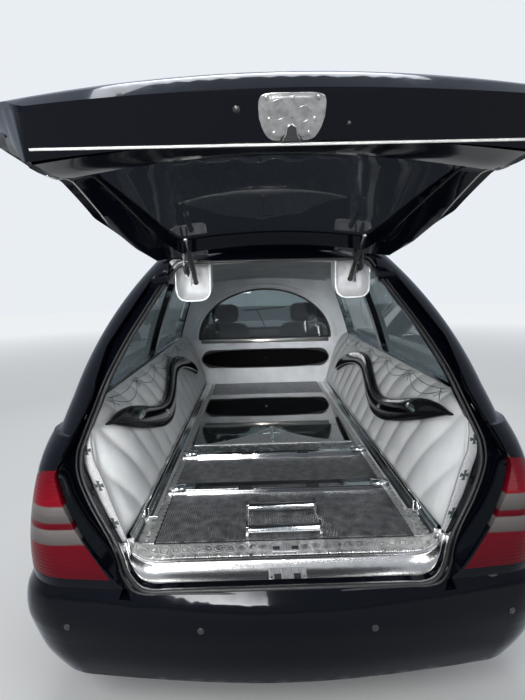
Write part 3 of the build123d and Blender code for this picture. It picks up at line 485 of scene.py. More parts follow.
# Rear opening: a black painted jamb pressed round inside the gate's shut line, with a double rubber
# seal pushed on its inner edge. It follows the raked rear end just ahead of the closed tailgate.
# x (0 where the face gives it), y, z of the seal, then y, z of the jamb's outer edge
OPENING = np.array([
    (0.051, 0.000, 0.545, 0.000, 0.536), (0.051, 0.250, 0.545, 0.250, 0.536),
    (0.051, 0.385, 0.545, 0.395, 0.536),
    (0.053, 0.440, 0.543, 0.470, 0.534), (0.075, 0.488, 0.546, 0.530, 0.540),
    (0.125, 0.532, 0.562, 0.570, 0.560),
    (0.178, 0.566, 0.598, 0.598, 0.600), (0, 0.597, 0.645, 0.628, 0.645), (0, 0.667, 0.758, 0.708, 0.758),
    (0, 0.718, 0.850, 0.766, 0.850), (0, 0.730, 0.915, 0.780, 0.910), (0, 0.722, 0.960, 0.769, 0.960),
    (0, 0.690, 1.063, 0.729, 1.063), (0, 0.656, 1.167, 0.704, 1.170), (0, 0.598, 1.300, 0.680, 1.310),
    (0, 0.545, 1.400, 0.625, 1.420), (0, 0.490, 1.500, 0.571, 1.510), (0, 0.445, 1.575, 0.524, 1.590),
    (0, 0.405, 1.611, 0.450, 1.640), (0, 0.300, 1.619, 0.300, 1.640), (0, 0.000, 1.621, 0.000, 1.641)])


def opening_lines(count):
    """Both closed lines of the opening, right round the car's rear end, as arrays of x, y, z."""
    def line(y, z):
        x = np.where(OPENING[:, 0] > 0, OPENING[:, 0], np.minimum(gate_inner(y, z) + 0.010, 0.822))
        half = np.c_[x, y, z]
        return spline(np.r_[half, (half * (1, -1, 1))[1:-1][::-1]], count, closed=True)
    return line(OPENING[:, 1], OPENING[:, 2]), line(OPENING[:, 3], OPENING[:, 4])


seal_line, jamb_line = opening_lines(420)
FORWARD = np.array((1.0, 0, 0))
jamb = np.stack([jamb_line, seal_line, seal_line + 0.045 * FORWARD,
                 seal_line + 0.045 * FORWARD + 0.02 * (jamb_line - seal_line),
                 jamb_line + 0.004 * FORWARD], 1)
jamb_piece = patch("rear_jamb", place(jamb), lacquer, close_u=True, close_v=True)
jamb_piece.data.set_sharp_from_angle(angle=radians(40))
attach(jamb_piece, "body")
rubber = finish("seal_rubber", (0.016, 0.016, 0.017), 0.42, speck=0.05, speck_scale=70.0, bump=0.0002,
                bump_scale=500.0)
outward = (jamb_line - seal_line) / np.linalg.norm(jamb_line - seal_line, axis=1)[:, None]
for name, shift, wide, high in (("rear_seal_bulb", 0.002, 0.014, 0.014),
                                ("rear_seal_lip", 0.021, 0.009, 0.008)):
    line = seal_line + shift * outward - 0.002 * FORWARD
    seal = sweep(name, place(line), ring_section(wide, high, 10), outward, rubber, closed=True)
    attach(seal, "body")


# Padded sides: white leather over foam, sewn in broad channels that lean back towards the tailgate and
# curl over the top. Each pad is blown up by cloth simulation between its seams, which stay pulled in.
PAD_LINE = [(0.548, 0.616), (0.566, 0.690), (0.592, 0.790), (0.622, 0.880), (0.655, 0.965), (0.697, 1.030),
            (0.738, 1.068)]
FIRST_SEAM, SEAM_STEP, SEAM_LEAN = 0.300, 0.188, 0.62
leather = finish("white_leather", (0.66, 0.67, 0.67), 0.44, speck=0.03, speck_scale=7.0, bump=0.00035,
                 bump_scale=420.0,
                 Subsurface_Weight=0.03, Coat_Weight=0.10)
PAD_ROWS, PAD_COLUMNS = 330, 34
face = spline(PAD_LINE, PAD_COLUMNS)


def end_flare(z):
    """How much further out the face runs at the pad's rear end, where it curves away round the corner."""
    return np.interp(z, (0.594, 0.678, 0.752, 0.827, 0.886, 0.950, 1.068),
                     (0.008, 0.030, 0.047, 0.060, 0.072, 0.062, 0.004))


def pad_points(side):
    """Closed pad: the face line swept along the car, its rear end raked, wrapped round to a flat back. A row runs
    up the face and back down 45 mm behind it; the channels swell as the size of a sine, to the power 0.7, of
    the distance along the car plus the lean times the height."""
    s = np.linspace(0, 1, PAD_ROWS)
    x_end = 0.249 + 0.36 * (face[:, 1] - 0.612)
    x = x_end[None] + (3.115 - x_end[None]) * s[:, None]
    y = face[:, 0][None] + end_flare(face[:, 1])[None] * np.exp(-((x - x_end[None]) / 0.15) ** 1.5)
    z = np.broadcast_to(face[:, 1], x.shape)
    across = np.gradient(face, axis=0)
    normal = np.c_[across[:, 1], -across[:, 0]] / np.linalg.norm(across, axis=1)[:, None]
    phase = (x + SEAM_LEAN * (z - 0.616) - FIRST_SEAM) / SEAM_STEP
    channel = np.abs(np.sin(np.pi * phase)) ** 0.7
    ends = np.minimum(1, np.minimum(s[:, None], 1 - s[:, None]) * 40)
    rim = np.minimum(1, np.minimum(np.arange(PAD_COLUMNS), np.arange(PAD_COLUMNS)[::-1]) / 3.0)
    push = -0.006 + 0.014 * channel * ends * rim[None]
    front = np.stack([x, side * (y - push * normal[None, :, 0]), z - push * normal[None, :, 1]], -1)
    back = np.stack([x, side * np.minimum(y + 0.045, 0.748), np.minimum(z + 0.004, 1.066)], -1)[:, ::-1]
    return np.concatenate([front, back[:, 2:-2:3]], 1), np.abs(phase - np.round(phase)), ends


def blow_out(pad, quality, stiffness, cap, bending=None, sewn=None):
    """The cover blown out by cloth under 4 units of pressure for 20 frames, its result applied to the mesh;
    no point moves further than the cap, and the `sewn` group holds its points back."""
    before = np.empty(len(pad.data.vertices) * 3)
    pad.data.vertices.foreach_get("co", before)
    cloth = pad.modifiers.new("foam", "CLOTH")
    cloth.settings.quality = quality
    cloth.settings.tension_stiffness = cloth.settings.compression_stiffness = stiffness
    if bending:
        cloth.settings.bending_stiffness = bending
    cloth.settings.use_pressure, cloth.settings.uniform_pressure_force = True, 4.0
    cloth.settings.effector_weights.gravity = 0
    if sewn:
        cloth.settings.vertex_group_mass = sewn
    cloth.collision_settings.use_collision = False
    cloth.point_cache.frame_start, cloth.point_cache.frame_end = 1, 20
    for number in range(1, 21):
        bpy.context.scene.frame_set(number)
    settled = pad.evaluated_get(bpy.context.evaluated_depsgraph_get()).data
    after = np.empty(len(settled.vertices) * 3)
    settled.vertices.foreach_get("co", after)
    pad.modifiers.remove(cloth)
    move = (after - before).reshape(-1, 3)
    far = np.linalg.norm(move, axis=1)[:, None]
    move *= np.minimum(1, cap / np.maximum(far, 1e-9))
    pad.data.vertices.foreach_set("co", (before.reshape(-1, 3) + move).ravel())
    bpy.context.scene.frame_set(1)


def padded_side(side):
    """The closed pad with its seams held in a vertex group, blown out between them, then smoothed."""
    points, seam, ends = pad_points(side)
    pad = patch("side_pad_left" if side > 0 else "side_pad_right", place(points), leather, close_v=True,
                caps=True)
    free = np.zeros(points.shape[:2])
    free[:, :PAD_COLUMNS] = np.clip((seam - 0.06) * 12, 0, 1) * (ends > 0.4)
    free[:, [0, 1, PAD_COLUMNS - 2, PAD_COLUMNS - 1]] = 0
    group = pad.vertex_groups.new(name="sewn")
    for level in (0.0, 0.34, 0.67, 1.0):
        flat = np.flatnonzero(np.abs((1 - free).ravel() - level) <= 0.17)
        group.add(flat.tolist(), level, "REPLACE")
    blow_out(pad, 6, 12, 0.016, 0.4, "sewn")
    smoother = pad.modifiers.new("smooth", "SUBSURF")
    smoother.levels = smoother.render_levels = 1
    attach(pad, "body")
    return pad


pads = both_sides(padded_side)
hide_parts("side_cushions")


# Ornamental woven band glued up the rear end of each pad: silver thread leaves on white with three dark
# green crosses. It is a thin strip with its own map, u across it and v up it.
def band_cloth():
    """Silver filigree from two crossed wave textures on the strip's own map, with a cross where both the
    distance across and the distance along, folded every third of the strip, are small."""
    made, shader = new_material("woven_band")
    add, join = nodes_of(made)
    where = add("UVMap", uv_map="band")
    split = add("SeparateXYZ")
    join(where.outputs[0], split.inputs[0])

    def math(kind, a, b=None, c=None):
        node = add("Math", operation=kind)
        for k, value in enumerate((a, b, c)):
            if value is not None:
                if hasattr(value, "is_linked"):
                    join(value, node.inputs[k])
                else:
                    node.inputs[k].default_value = value
        return node.outputs[0]
    third = math("FRACT", math("MULTIPLY", split.outputs[1], 3.0))
    u, v = math("SUBTRACT", split.outputs[0], 0.5), math("SUBTRACT", third, 0.5)
    u, v = math("ABSOLUTE", u), math("MULTIPLY", math("ABSOLUTE", v), 2.6)
    arm_u = math("MULTIPLY", math("LESS_THAN", u, math("MULTIPLY_ADD", v, 0.22, 0.07)),
                 math("LESS_THAN", v, 0.36))
    arm_v = math("MULTIPLY", math("LESS_THAN", v, math("MULTIPLY_ADD", u, 0.22, 0.07)),
                 math("LESS_THAN", u, 0.36))
    cross = math("MAXIMUM", arm_u, arm_v)
    scroll = add("TexVoronoi", Scale=26.0, feature="DISTANCE_TO_EDGE")
    stretch = add("Mapping", Scale=(1.0, 6.0, 1.0))
    join(where.outputs[0], stretch.inputs["Vector"])
    join(stretch.outputs[0], scroll.inputs["Vector"])
    thread = math("LESS_THAN", scroll.outputs["Distance"], 0.10)
    edge_line = math("GREATER_THAN", u, 0.44)
    silver = add("MixRGB")
    silver.inputs["Color1"].default_value = (0.70, 0.70, 0.69, 1)
    silver.inputs["Color2"].default_value = (0.30, 0.31, 0.33, 1)
    join(thread, silver.inputs["Fac"])
    marked = add("MixRGB")
    marked.inputs["Color2"].default_value = (0.001, 0.022, 0.018, 1)
    join(cross, marked.inputs["Fac"])
    join(silver.outputs[0], marked.inputs["Color1"])
    edged = add("MixRGB")
    edged.inputs["Color2"].default_value = (0.20, 0.21, 0.23, 1)
    join(edge_line, edged.inputs["Fac"])
    join(marked.outputs[0], edged.inputs["Color1"])
    join(edged.outputs[0], shader.inputs["Base Color"])
    height = add("Bump", Distance=0.0006)
    join(math("ADD", thread, cross), height.inputs["Height"])
    join(height.outputs[0], shader.inputs["Normal"])
    shader.inputs["Roughness"].default_value = 0.45
    shader.inputs["Sheen Weight"].default_value = 0.3
    return made


woven_band = band_cloth()


def end_band(side):
    """The strip lies 8 mm behind the pad's raked end, 44 mm wide, following the face line up to the belt."""
    rows = spline(PAD_LINE, 40)[:31]
    rows[:, 0] += end_flare(rows[:, 1])
    x = 0.249 + 0.36 * (rows[:, 1] - 0.612) - 0.008
    wide = np.linspace(0, 1, 5)
    points = np.stack([x[:, None] - 0.004 * np.sin(np.pi * wide)[None],
                       side * (rows[:, :1] - 0.002 + 0.044 * wide[None]),
                       rows[:, 1:] + 0 * wide[None]], -1)
    strip = patch("pad_band_left" if side > 0 else "pad_band_right", place(points), woven_band)
    layer = strip.data.uv_layers.new(name="band")
    corner = np.empty(len(strip.data.loops), int)
    strip.data.loops.foreach_get("vertex_index", corner)
    layer.data.foreach_set("uv", np.c_[(corner % 5) / 4, (corner // 5) / 30].ravel())
    thick = strip.modifiers.new("thickness", "SOLIDIFY")
    thick.thickness, thick.offset = 0.002, 0
    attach(strip, "body")
    return strip


both_sides(end_band)


# Embroidered swags along the top of each pad: dark thread sewn in hanging curves with a small sprig at
# each join, laid on the leather above the scroll arms.
thread_black = finish("dark_thread", (0.02, 0.025, 0.03), 0.6, speck=0.1, speck_scale=400.0, bump=0.0002,
                      bump_scale=1500.0)


def on_pad(up):
    """Y and Z of the pad's face at a share of the way up the face line."""
    run = np.linspace(0, 1, PAD_COLUMNS)
    return np.interp(up, run, face[:, 0]), np.interp(up, run, face[:, 1])


def swags(side):
    """Each swag hangs as a parabola between two joins 0.44 m apart, with short strokes crossing at the
    joins."""
    lines = []
    for start in np.arange(0.62, 2.60, 0.44):
        t = np.linspace(0, 1, 15)
        lines.append((start + 0.44 * t, 0.93 - 0.12 * (1 - (2 * t - 1) ** 2)))
        lines.append((start + 0.44 * t, 0.96 - 0.05 * (1 - (2 * t - 1) ** 2)))
        for slope in (0.5, -0.5):
            t = np.linspace(-1, 1, 5)
            lines.append((start + 0.035 * t, 0.90 + 0.05 * slope * t * 2))
    made = []
    for number, (x, up) in enumerate(lines):
        y, z = on_pad(up)
        path = np.c_[x, side * (y - 0.0105), z + 0.0035]
        made.append(sweep(f"swag_{'left' if side > 0 else 'right'}_{number}", place(path),
                          ring_section(0.0026, 0.0020, 6), (0, -side, 0.6),
                          thread_black))
    return join_pieces(f"swags_{'left' if side > 0 else 'right'}", made)


def join_pieces(name, pieces, body="body"):
    """Several meshes made one object, which rides on a body."""
    merged, shape = bpy.data.meshes.new(name), bmesh.new()
    materials = []
    for piece in pieces:
        start = len(shape.faces)
        shape.from_mesh(piece.data)
        shape.faces.ensure_lookup_table()
        if piece.data.materials[0] not in materials:
            materials.append(piece.data.materials[0])
        for polygon in shape.faces[start:]:
            polygon.material_index = materials.index(piece.data.materials[0])
        bpy.data.objects.remove(piece)
    shape.to_mesh(merged)
    shape.free()
    for material in materials:
        merged.materials.append(material)
    made = bpy.data.objects.new(name, merged)
    bpy.context.scene.collection.objects.link(made)
    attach(made, body)
    return made


both_sides(swags)


# Scroll arms: two S-shaped carved rails, moulded and lacquered black, that lie on the pads with a chrome
# oval let into their broad end.
# x, z along the middle of the scroll and its half width there
SCROLL = np.array([(0.400, 1.008, 0.004), (0.520, 0.992, 0.030), (0.660, 0.962, 0.050), (0.800, 0.925, 0.057),
                   (0.950, 0.885, 0.058), (1.100, 0.853, 0.060), (1.250, 0.842, 0.060), (1.380, 0.858, 0.058),
                   (1.520, 0.897, 0.056), (1.660, 0.943, 0.055), (1.800, 0.976, 0.054), (1.950, 0.984, 0.052),
                   (2.120, 0.970, 0.050), (2.300, 0.935, 0.051), (2.460, 0.888, 0.050), (2.560, 0.842, 0.040),
                   (2.610, 0.812, 0.012)])
piano_black = finish("piano_black", (0.0020, 0.0020, 0.0025), 0.12, coat=0.55, speck=0.002, speck_scale=40.0,
                     Specular_IOR_Level=0.05, Coat_IOR=1.28)
chrome = finish("chrome", (0.62, 0.63, 0.64), 0.07, metal=1.0, speck=0.08, speck_scale=120.0, bump=0.00001,
                bump_scale=900.0)


def scroll_arm(side):
    """A flattened superellipse section carried along the S, 2.6 times as wide as deep, on the pad's slope."""
    line = spline(SCROLL, 120)
    y = np.interp(line[:, 1], face[:, 1], face[:, 0])
    path = np.c_[line[:, 0], side * (y - 0.026), line[:, 1]]
    lean = np.array((0, -side * 0.93, 0.36))
    turn = ring_section(1, 1, 28, 2.5)
    section = turn[None] * np.stack([2 * line[:, 2], 0.020 + 0.40 * line[:, 2]], -1)[:, None]
    arm = sweep(f"scroll_arm_{'left' if side > 0 else 'right'}", place(path), section, lean, piano_black)
    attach(arm, "body")
    t = np.linspace(0, 2 * np.pi, 33)[:-1]
    rings = []
    for x, z, wide, high in ((0.735, 0.948, 0.062, 0.018), (1.160, 0.850, 0.030, 0.018)):
        radius = np.linspace(1, 0, 7)[:, None]
        yy = np.interp(z, face[:, 1], face[:, 0]) - 0.026 - 0.5 * (0.020 + 0.40 * 0.074)
        dome = np.stack([x + wide * radius * np.cos(t)[None],
                         side * (yy + 0.004 - 0.006 * (1 - radius ** 2) + 0.36 * high * radius * np.sin(t)[None]),
                         z + high * 0.93 * radius * np.sin(t)[None] + 0.0038], -1)
        rings.append(patch("oval", place(dome), chrome, close_v=True))
    join_pieces(f"scroll_ovals_{'left' if side > 0 else 'right'}", rings)
    return arm


arms = both_sides(scroll_arm)
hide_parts("scroll_arms")


# Loading deck: a black lacquered board under overlays of polished dark panel, knurled plate and fine
# ribbed rubber mat, edged with engine-turned stainless strips.
def deck_finish(name, colour, rough, metal, pattern, scale, depth, second=None, stretch=(1, 1, 1), coat=0.0):
    """A finish with a regular relief on Object coordinates: `pattern` is ribs (a sine across the car),
    turned (overlapping rings from a distorted grid of dots) or knurl (two crossed sines)."""
    made = finish(name, colour, rough, metal=metal, coat=coat, speck=0.08, speck_scale=25.0, second=second,
                  stretch=stretch)
    add, join = nodes_of(made)
    shader = next(node for node in made.node_tree.nodes if node.type == "BSDF_PRINCIPLED")
    where = add("TexCoord")
    if pattern == "turned":
        dots = add("TexVoronoi", Scale=scale, feature="F1", Randomness=0.18)
        join(where.outputs["Object"], dots.inputs["Vector"])
        rings = add("Math", operation="MULTIPLY")
        join(dots.outputs["Distance"], rings.inputs[0])
        rings.inputs[1].default_value = 34.0
        wave = add("Math", operation="SINE")
        join(rings.outputs[0], wave.inputs[0])
        height = wave.outputs[0]
        shade = add("MapRange")
        join(dots.outputs["Distance"], shade.inputs["Value"])
        shade.inputs["From Max"].default_value = 0.7
        shade.inputs["To Min"].default_value, shade.inputs["To Max"].default_value = rough * 0.5, min(1, rough * 2.2)
        join(shade.outputs["Result"], shader.inputs["Roughness"])
    else:
        wave = add("TexWave", Scale=scale, bands_direction="Y")
        join(where.outputs["Object"], wave.inputs["Vector"])
        height = wave.outputs["Fac"]
        if pattern == "knurl":
            across = add("TexWave", Scale=scale, bands_direction="X")
            join(where.outputs["Object"], across.inputs["Vector"])
            product = add("Math", operation="MULTIPLY")
            join(wave.outputs["Fac"], product.inputs[0])
            join(across.outputs["Fac"], product.inputs[1])
            height = product.outputs[0]
    raised = add("Bump", Distance=depth)
    join(height, raised.inputs["Height"])
    join(raised.outputs["Normal"], shader.inputs["Normal"])
    return made


deck_lacquer = finish("deck_lacquer", (0.006, 0.006, 0.007), 0.14, coat=0.8, speck=0.01, speck_scale=18.0)
mirror_panel = finish("mirror_panel", (0.010, 0.012, 0.013), 0.035, coat=1.0, speck=0.01, speck_scale=6.0,
                      Specular_IOR_Level=0.9)
rib_mat = deck_finish("ribbed_mat", (0.030, 0.031, 0.033), 0.34, 0.0, "ribs", 42.0, 0.0022,
                      second=(0.17, 0.175, 0.18))
turned_steel = deck_finish("engine_turned_steel", (0.62, 0.61, 0.59), 0.24, 1.0, "turned", 30.0, 0.0003)
knurled_steel = deck_finish("knurled_steel", (0.36, 0.37, 0.38), 0.26, 1.0, "knurl", 60.0, 0.0003)
brushed_steel = finish("brushed_steel", (0.60, 0.61, 0.62), 0.48, metal=1.0, speck=0.2, speck_scale=40.0,
                       bump=0.0001, bump_scale=200.0, stretch=(1, 8, 1))
far_mat = deck_finish("far_mat", (0.15, 0.155, 0.16), 0.40, 0.0, "ribs", 42.0, 0.0015,
                      second=(0.28, 0.29, 0.30))
polished_steel = finish("polished_steel", (0.66, 0.655, 0.645), 0.10, metal=1.0, speck=0.12, speck_scale=16.0,
                        bump=0.0002, bump_scale=70.0)
skin("deck", deck_lacquer, 0.002)


def slab(name, x, y, z, material, roll=0.0012):
    """A flat plate given by its low and high X, Y and Z, its upper edges rolled."""
    (x0, x1), (y0, y1), (z0, z1) = x, y, z
    steps = [(0, z0), (0, z1 - roll), (roll, z1)]
    points = np.array([[(x0 + d, y0 + d, h), (x1 - d, y0 + d, h), (x1 - d, y1 - d, h),
                        (x0 + d, y1 - d, h)] for d, h in steps])
    return patch(name, place(points), material, close_v=True, smooth=False, caps=True)


overlays = [
    slab("a", (1.325, 3.125), (-0.470, 0.470), (0.600, 0.6035), mirror_panel),
    slab("b", (0.253, 0.655), (-0.466, 0.466), (0.600, 0.6035), rib_mat),
    slab("c", (0.725, 1.100), (-0.470, 0.470), (0.600, 0.6030), rib_mat),
    slab("d", (0.725, 0.790), (-0.466, 0.466), (0.603, 0.6040), deck_lacquer),
    slab("e", (0.248, 3.125), (0.471, 0.534), (0.600, 0.6025), turned_steel),
    slab("f", (0.248, 3.125), (-0.534, -0.471), (0.600, 0.6025), turned_steel),
    slab("g", (1.178, 1.325), (-0.468, 0.468), (0.600, 0.6035), knurled_steel),
    slab("h", (2.660, 3.128), (-0.468, 0.468), (0.6035, 0.6050), far_mat),
]
join_pieces("deck_overlays", overlays)


# The bright plate ahead of the cross bar: thin brushed stainless whose front edge rises to a blunt point
# in the middle, with a plain raised cross on the centre line.
def gable_plate():
    """With `inward` the share of the way in from the end, the front edge stands at x = 1.33 plus 0.16 of it
    and 0.20 of its cube."""
    y = np.linspace(-0.455, 0.455, 81)
    inward = 1 - np.abs(y) / 0.455
    rise = 0.16 * inward + 0.20 * inward ** 3
    t = np.linspace(0, 1, 9)[:, None]
    top = np.stack([1.330 + rise[None] * t, y[None] + 0 * t, 0.6062 + 0.0035 * np.sin(np.pi * t) + 0 * y[None]],
                   -1)
    under = top[::-1] * (1, 1, 0) + (0, 0, 0.6036)
    return patch("gable", place(np.r_[top, under]), brushed_steel, close_u=True, caps=False)


gable = gable_plate()
upright = slab("upright", (1.36, 1.625), (-0.008, 0.008), (0.606, 0.6115), polished_steel)
crossing = slab("crossing", (1.520, 1.545), (-0.052, 0.052), (0.606, 0.6115), polished_steel)
join_pieces("deck_gable", [gable, upright, crossing])


# Sill: one pressed and polished stainless tray. From the deck an engine-turned band slopes down to two
# raised beads, then a deep trough runs to the seal and wraps up both corners; a striker plate is screwed
# into its middle.
def sill_rows():
    """Rows from the deck's edge (t = 0) to the seal (t = 1). Along the tray u runs from one upper corner
    down, across and up the other; the outer line is the seal's lower part and the inner line the deck's edge."""
    low = np.flatnonzero((seal_line[:, 2] < 0.640))
    order = low[np.argsort(np.where(low > 210, low - 420, low))]
    outer = seal_line[order] + (0.004, 0, 0.001)
    u = np.linspace(-1, 1, len(order))
    rim = outer[:, 1]
    inner_y = np.clip(rim, -0.540, 0.540)
    corner = np.clip((np.abs(rim) - 0.500) / 0.10, 0, 1)
    inner = np.stack([0.243 + 0.010 * corner, inner_y, 0.600 + 0.030 * corner], -1)
    t = np.array((0, 0.03, 0.10, 0.20, 0.30, 0.345, 0.365, 0.385, 0.415, 0.435, 0.455, 0.475, 0.52, 0.60, 0.70,
                  0.80, 0.90, 0.96, 1.0))
    lift = np.array((0, 0.0015, 0.001, 0, 0, 0.0, 0.0055, 0.0, 0.0, 0.0055, 0.0, -0.004, -0.012, -0.020, -0.024,
                     -0.022, -0.012, -0.004, 0))
    rows = inner[None] * (1 - t[:, None, None]) + outer[None] * t[:, None, None]
    normal = np.array((-0.30, 0, 0.95))
    return rows + (lift[:, None] * (1 - 0.35 * corner)[None])[..., None] * normal, t


rows, row_shares = sill_rows()
band_steel = deck_finish("sill_steel", (0.66, 0.65, 0.63), 0.24, 1.0, "turned", 26.0, 0.0006)
band = patch("sill_band", place(rows[:6]), band_steel)
trough_steel = finish("trough_steel", (0.74, 0.735, 0.72), 0.24, metal=1.0, speck=0.25, speck_scale=14.0,
                      bump=0.0008, bump_scale=30.0, second=(0.60, 0.59, 0.57))
trough = patch("sill_trough", place(rows[5:]), trough_steel)
sill = join_pieces("sill_liner", [band, trough])
thick = sill.modifiers.new("sheet", "SOLIDIFY")
thick.thickness, thick.offset = 0.0012, -1
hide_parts("sill_tray")


def tray_plate(name, along, across, high, material):
    """A plate laid on the tray: the tray's middle profile between two values of t, carried from one y to
    another and raised by `high` along the tray's normal, with its edges turned down into the sheet."""
    middle = rows[:, rows.shape[1] // 2]
    steps = np.array((0, 0, 0.03, 0.35, 0.65, 0.97, 1, 1))
    rise = np.array((-0.0015, high * 0.8, high, high, high, high, high * 0.8, -0.0015))
    t, y = (low + (high_end - low) * steps for low, high_end in (along, across))
    lift = np.minimum(rise[:, None], rise[None])
    x = np.interp(t, row_shares, middle[:, 0])[:, None] - 0.30 * lift
    z = np.interp(t, row_shares, middle[:, 2])[:, None] + 0.95 * lift
    return patch(name, place(np.stack([x, y[None] + 0 * x, z], -1)), material)


plates = [tray_plate("plate", (0.56, 0.92), (-0.066, 0.062), 0.0045, brushed_steel),
          tray_plate("catch", (0.10, 0.26), (-0.052, 0.048), 0.0025, brushed_steel)]
# The wells are near-black patches laid on the plates: painted shade for their hollows.
for low_t, high_t, high in ((0.66, 0.84, 0.0055), (0.14, 0.22, 0.0032)):
    for y in (-0.046, 0.020):
        plates.append(tray_plate("well", (low_t, high_t), (y, y + 0.024), high, underseal_and_painted_shade))
for y in (-0.058, 0.054):
    plates.append(tray_plate("screw", (0.71, 0.77), (y - 0.004, y + 0.004), 0.0065, polished_steel))
join_pieces("striker_plate", plates)


# Chrome rails and bars on the deck: angle rails along both edges, two square cross bars with chrome
# sleeves at their ends and two roller units, all bolted through the deck.
skin("deck_fittings", chrome, 0.0015)
rail_parts = []
for side in (1, -1):
    top = np.array([(0.44, side * 0.545, 0.612), (0.47, side * 0.545, 0.632), (3.05, side * 0.545, 0.632),
                    (3.10, side * 0.545, 0.612)])
    rail_parts.append(sweep("rail", place(top), bar_section(0.005, 0.036, 0.001), (0, 0, 1), polished_steel))
    rail_parts.append(sweep("black", place([(0.250, side * 0.5385, 0.6015), (3.12, side * 0.5385, 0.6015)]),
                            bar_section(0.004, 0.005, 0.001),
                            (0, 0, 1), rubber))
    for x, z in ((0.684, 0.624), (1.143, 0.624)):
        rail_parts.append(sweep("sleeve", place([(x, side * 0.415, z), (x, side * 0.488, z)]),
                                bar_section(0.050, 0.022, 0.003), (0, 0, 1), chrome))
        # Each cross bar's slot is a thin near-black bar: painted shade.
        rail_parts.append(sweep("slot",
                                place([(x, side * 0.15 - 0.03, z - 0.006), (x, side * 0.15 + 0.03, z - 0.006)]),
                                bar_section(0.048, 0.003, 0.001),
                                (0, 0, 1), underseal_and_painted_shade))
join_pieces("deck_rails", rail_parts)


# Partition: board trimmed in pale grey leathercloth, with a half-moon window in a rolled lip over a
# brushed strip; the oval below is a recess backed by a near-black sheet, painted shade. The ceiling has a duller
# cloth.
ceiling_cloth = finish("ceiling_cloth", (0.40, 0.41, 0.42), 0.75, speck=0.05, speck_scale=6.0, bump=0.0003,
                       bump_scale=600.0)
white_moulding = finish("white_moulding", (0.70, 0.71, 0.72), 0.38, speck=0.03, speck_scale=20.0, bump=0.0001,
                        bump_scale=400.0)
skin("partition", grey_cloth, 0.003)
skin("headlining", ceiling_cloth, 0.003)
t = np.linspace(0, np.pi, 61)
arc = np.stack([0 * t + 3.1375, 0.603 * np.cos(t), 1.022 + 0.447 * np.sin(t)], -1)
lip_line = np.r_[arc, [(3.1375, y, 1.022) for y in np.linspace(-0.57, 0.57, 12)]]
moon = [sweep("lip", place(lip_line), ring_section(0.016, 0.022, 12), (1, 0, 0), rubber, closed=True),
        sweep("roll", place((arc - (0, 0, 1.022)) * (1, 1.075, 1.09) + (0.001, 0, 1.022)),
              ring_section(0.030, 0.014, 12), (1, 0, 0), grey_cloth),
        sweep("strip", place([(3.130, 0.585, 1.000), (3.130, -0.585, 1.000)]), bar_section(0.006, 0.036, 0.002),
              (0, 0, 1),
              finish("brushed_strip", (0.42, 0.40, 0.38), 0.28, metal=1.0, speck=0.2, speck_scale=12.0,
                     stretch=(1, 0.05, 1)))]
c, s = circle(72)
oval_line = np.stack([0 * c + 3.1375, 0.585 * full(c, 0.55), 0.835 + 0.085 * full(s, 0.8)], -1)
moon.append(sweep("oval", place(oval_line), ring_section(0.010, 0.016, 10), (1, 0, 0), rubber, closed=True))
join_pieces("partition_trim", moon)
# The oval's backing is a near-black sheet standing for the shade inside the recess: painted shade.
backing = [np.stack([0 * c + 3.158, k * 0.60 * full(c, 0.5), 0.835 + k * 0.092 * s],
                    -1) for k in (1.0, 0.5, 0.02)]
oval_painted_shade = finish("oval_painted_shade", (0.0015, 0.0015, 0.002), 0.75, speck=0.002, speck_scale=4.0,
                     Specular_IOR_Level=0.05)
oval_shade_pane = patch("oval_backing", place(np.stack(backing)), oval_painted_shade, close_v=True)
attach(oval_shade_pane, "body")


# Hinge covers: white vacuum-formed troughs hung under the roof round each hinge, open to the rear, with
# a rounded lower front. The gooseneck arms, pins and gas struts inside them are black steel.
satin_black = finish("satin_black_steel", (0.014, 0.014, 0.015), 0.30, speck=0.05, speck_scale=40.0,
                     bump=0.0001, bump_scale=300.0)
bright_rod = finish("bright_rod", (0.62, 0.62, 0.60), 0.12, metal=1.0, speck=0.08, speck_scale=60.0)


def hinge_cover(side):
    """A U section with superellipse corners, 6 mm thick, carried forward while its depth falls with the
    square of the distance; the front closes in a quarter round."""
    turn = np.linspace(0, np.pi, 25)
    u = np.r_[[(1.0, 1.0)], np.c_[full(np.cos(turn), 0.55), -np.abs(np.sin(turn)) ** 0.62], [(-1.0, 1.0)]]
    rings = []
    for x in np.r_[np.linspace(0.838, 0.965, 9), np.linspace(0.975, 1.018, 6)]:
        close = np.clip((x - 0.965) / 0.053, 0, 1)
        round_off = np.sqrt(max(1 - close ** 2, 0.0004))
        depth = 0.172 - 0.055 * ((x - 0.838) / 0.18) ** 2
        rings.append(np.stack([0 * u[:, 0] + x, side * (0.3625 + 0.0805 * round_off * u[:, 0]),
                               1.618 - depth * (0.30 + 0.70 * round_off) * (1 - (u[:, 1] + 1) / 2)], -1))
    cover = patch("hinge_cover_left" if side > 0 else "hinge_cover_right", place(np.array(rings)),
                  white_moulding)
    wall = cover.modifiers.new("wall", "SOLIDIFY")
    wall.thickness, wall.offset = 0.006, -side
    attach(cover, "body")
    return cover


covers = both_sides(hinge_cover)
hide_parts("hinge_covers")
for node in ("tailgate_arms", "hinge_mounts", "strut_tube_left", "strut_tube_right"):
    skin(node, satin_black, 0.001)
for node in ("strut_rod_left", "strut_rod_right"):
    skin(node, bright_rod, 0)


# Tail lamps: one ribbed red lens over each corner, with two smoked grey bands across it for the
# reversing and turning lamps, moulded with fine upright flutes.
def fill_ramp(ramp, stops):
    """The ramp takes these (place, colour) stops."""
    while len(ramp.color_ramp.elements) < len(stops):
        ramp.color_ramp.elements.new(0.5)
    for element, (at, colour) in zip(ramp.color_ramp.elements, stops):
        element.position, element.color = at, (*colour, 1)


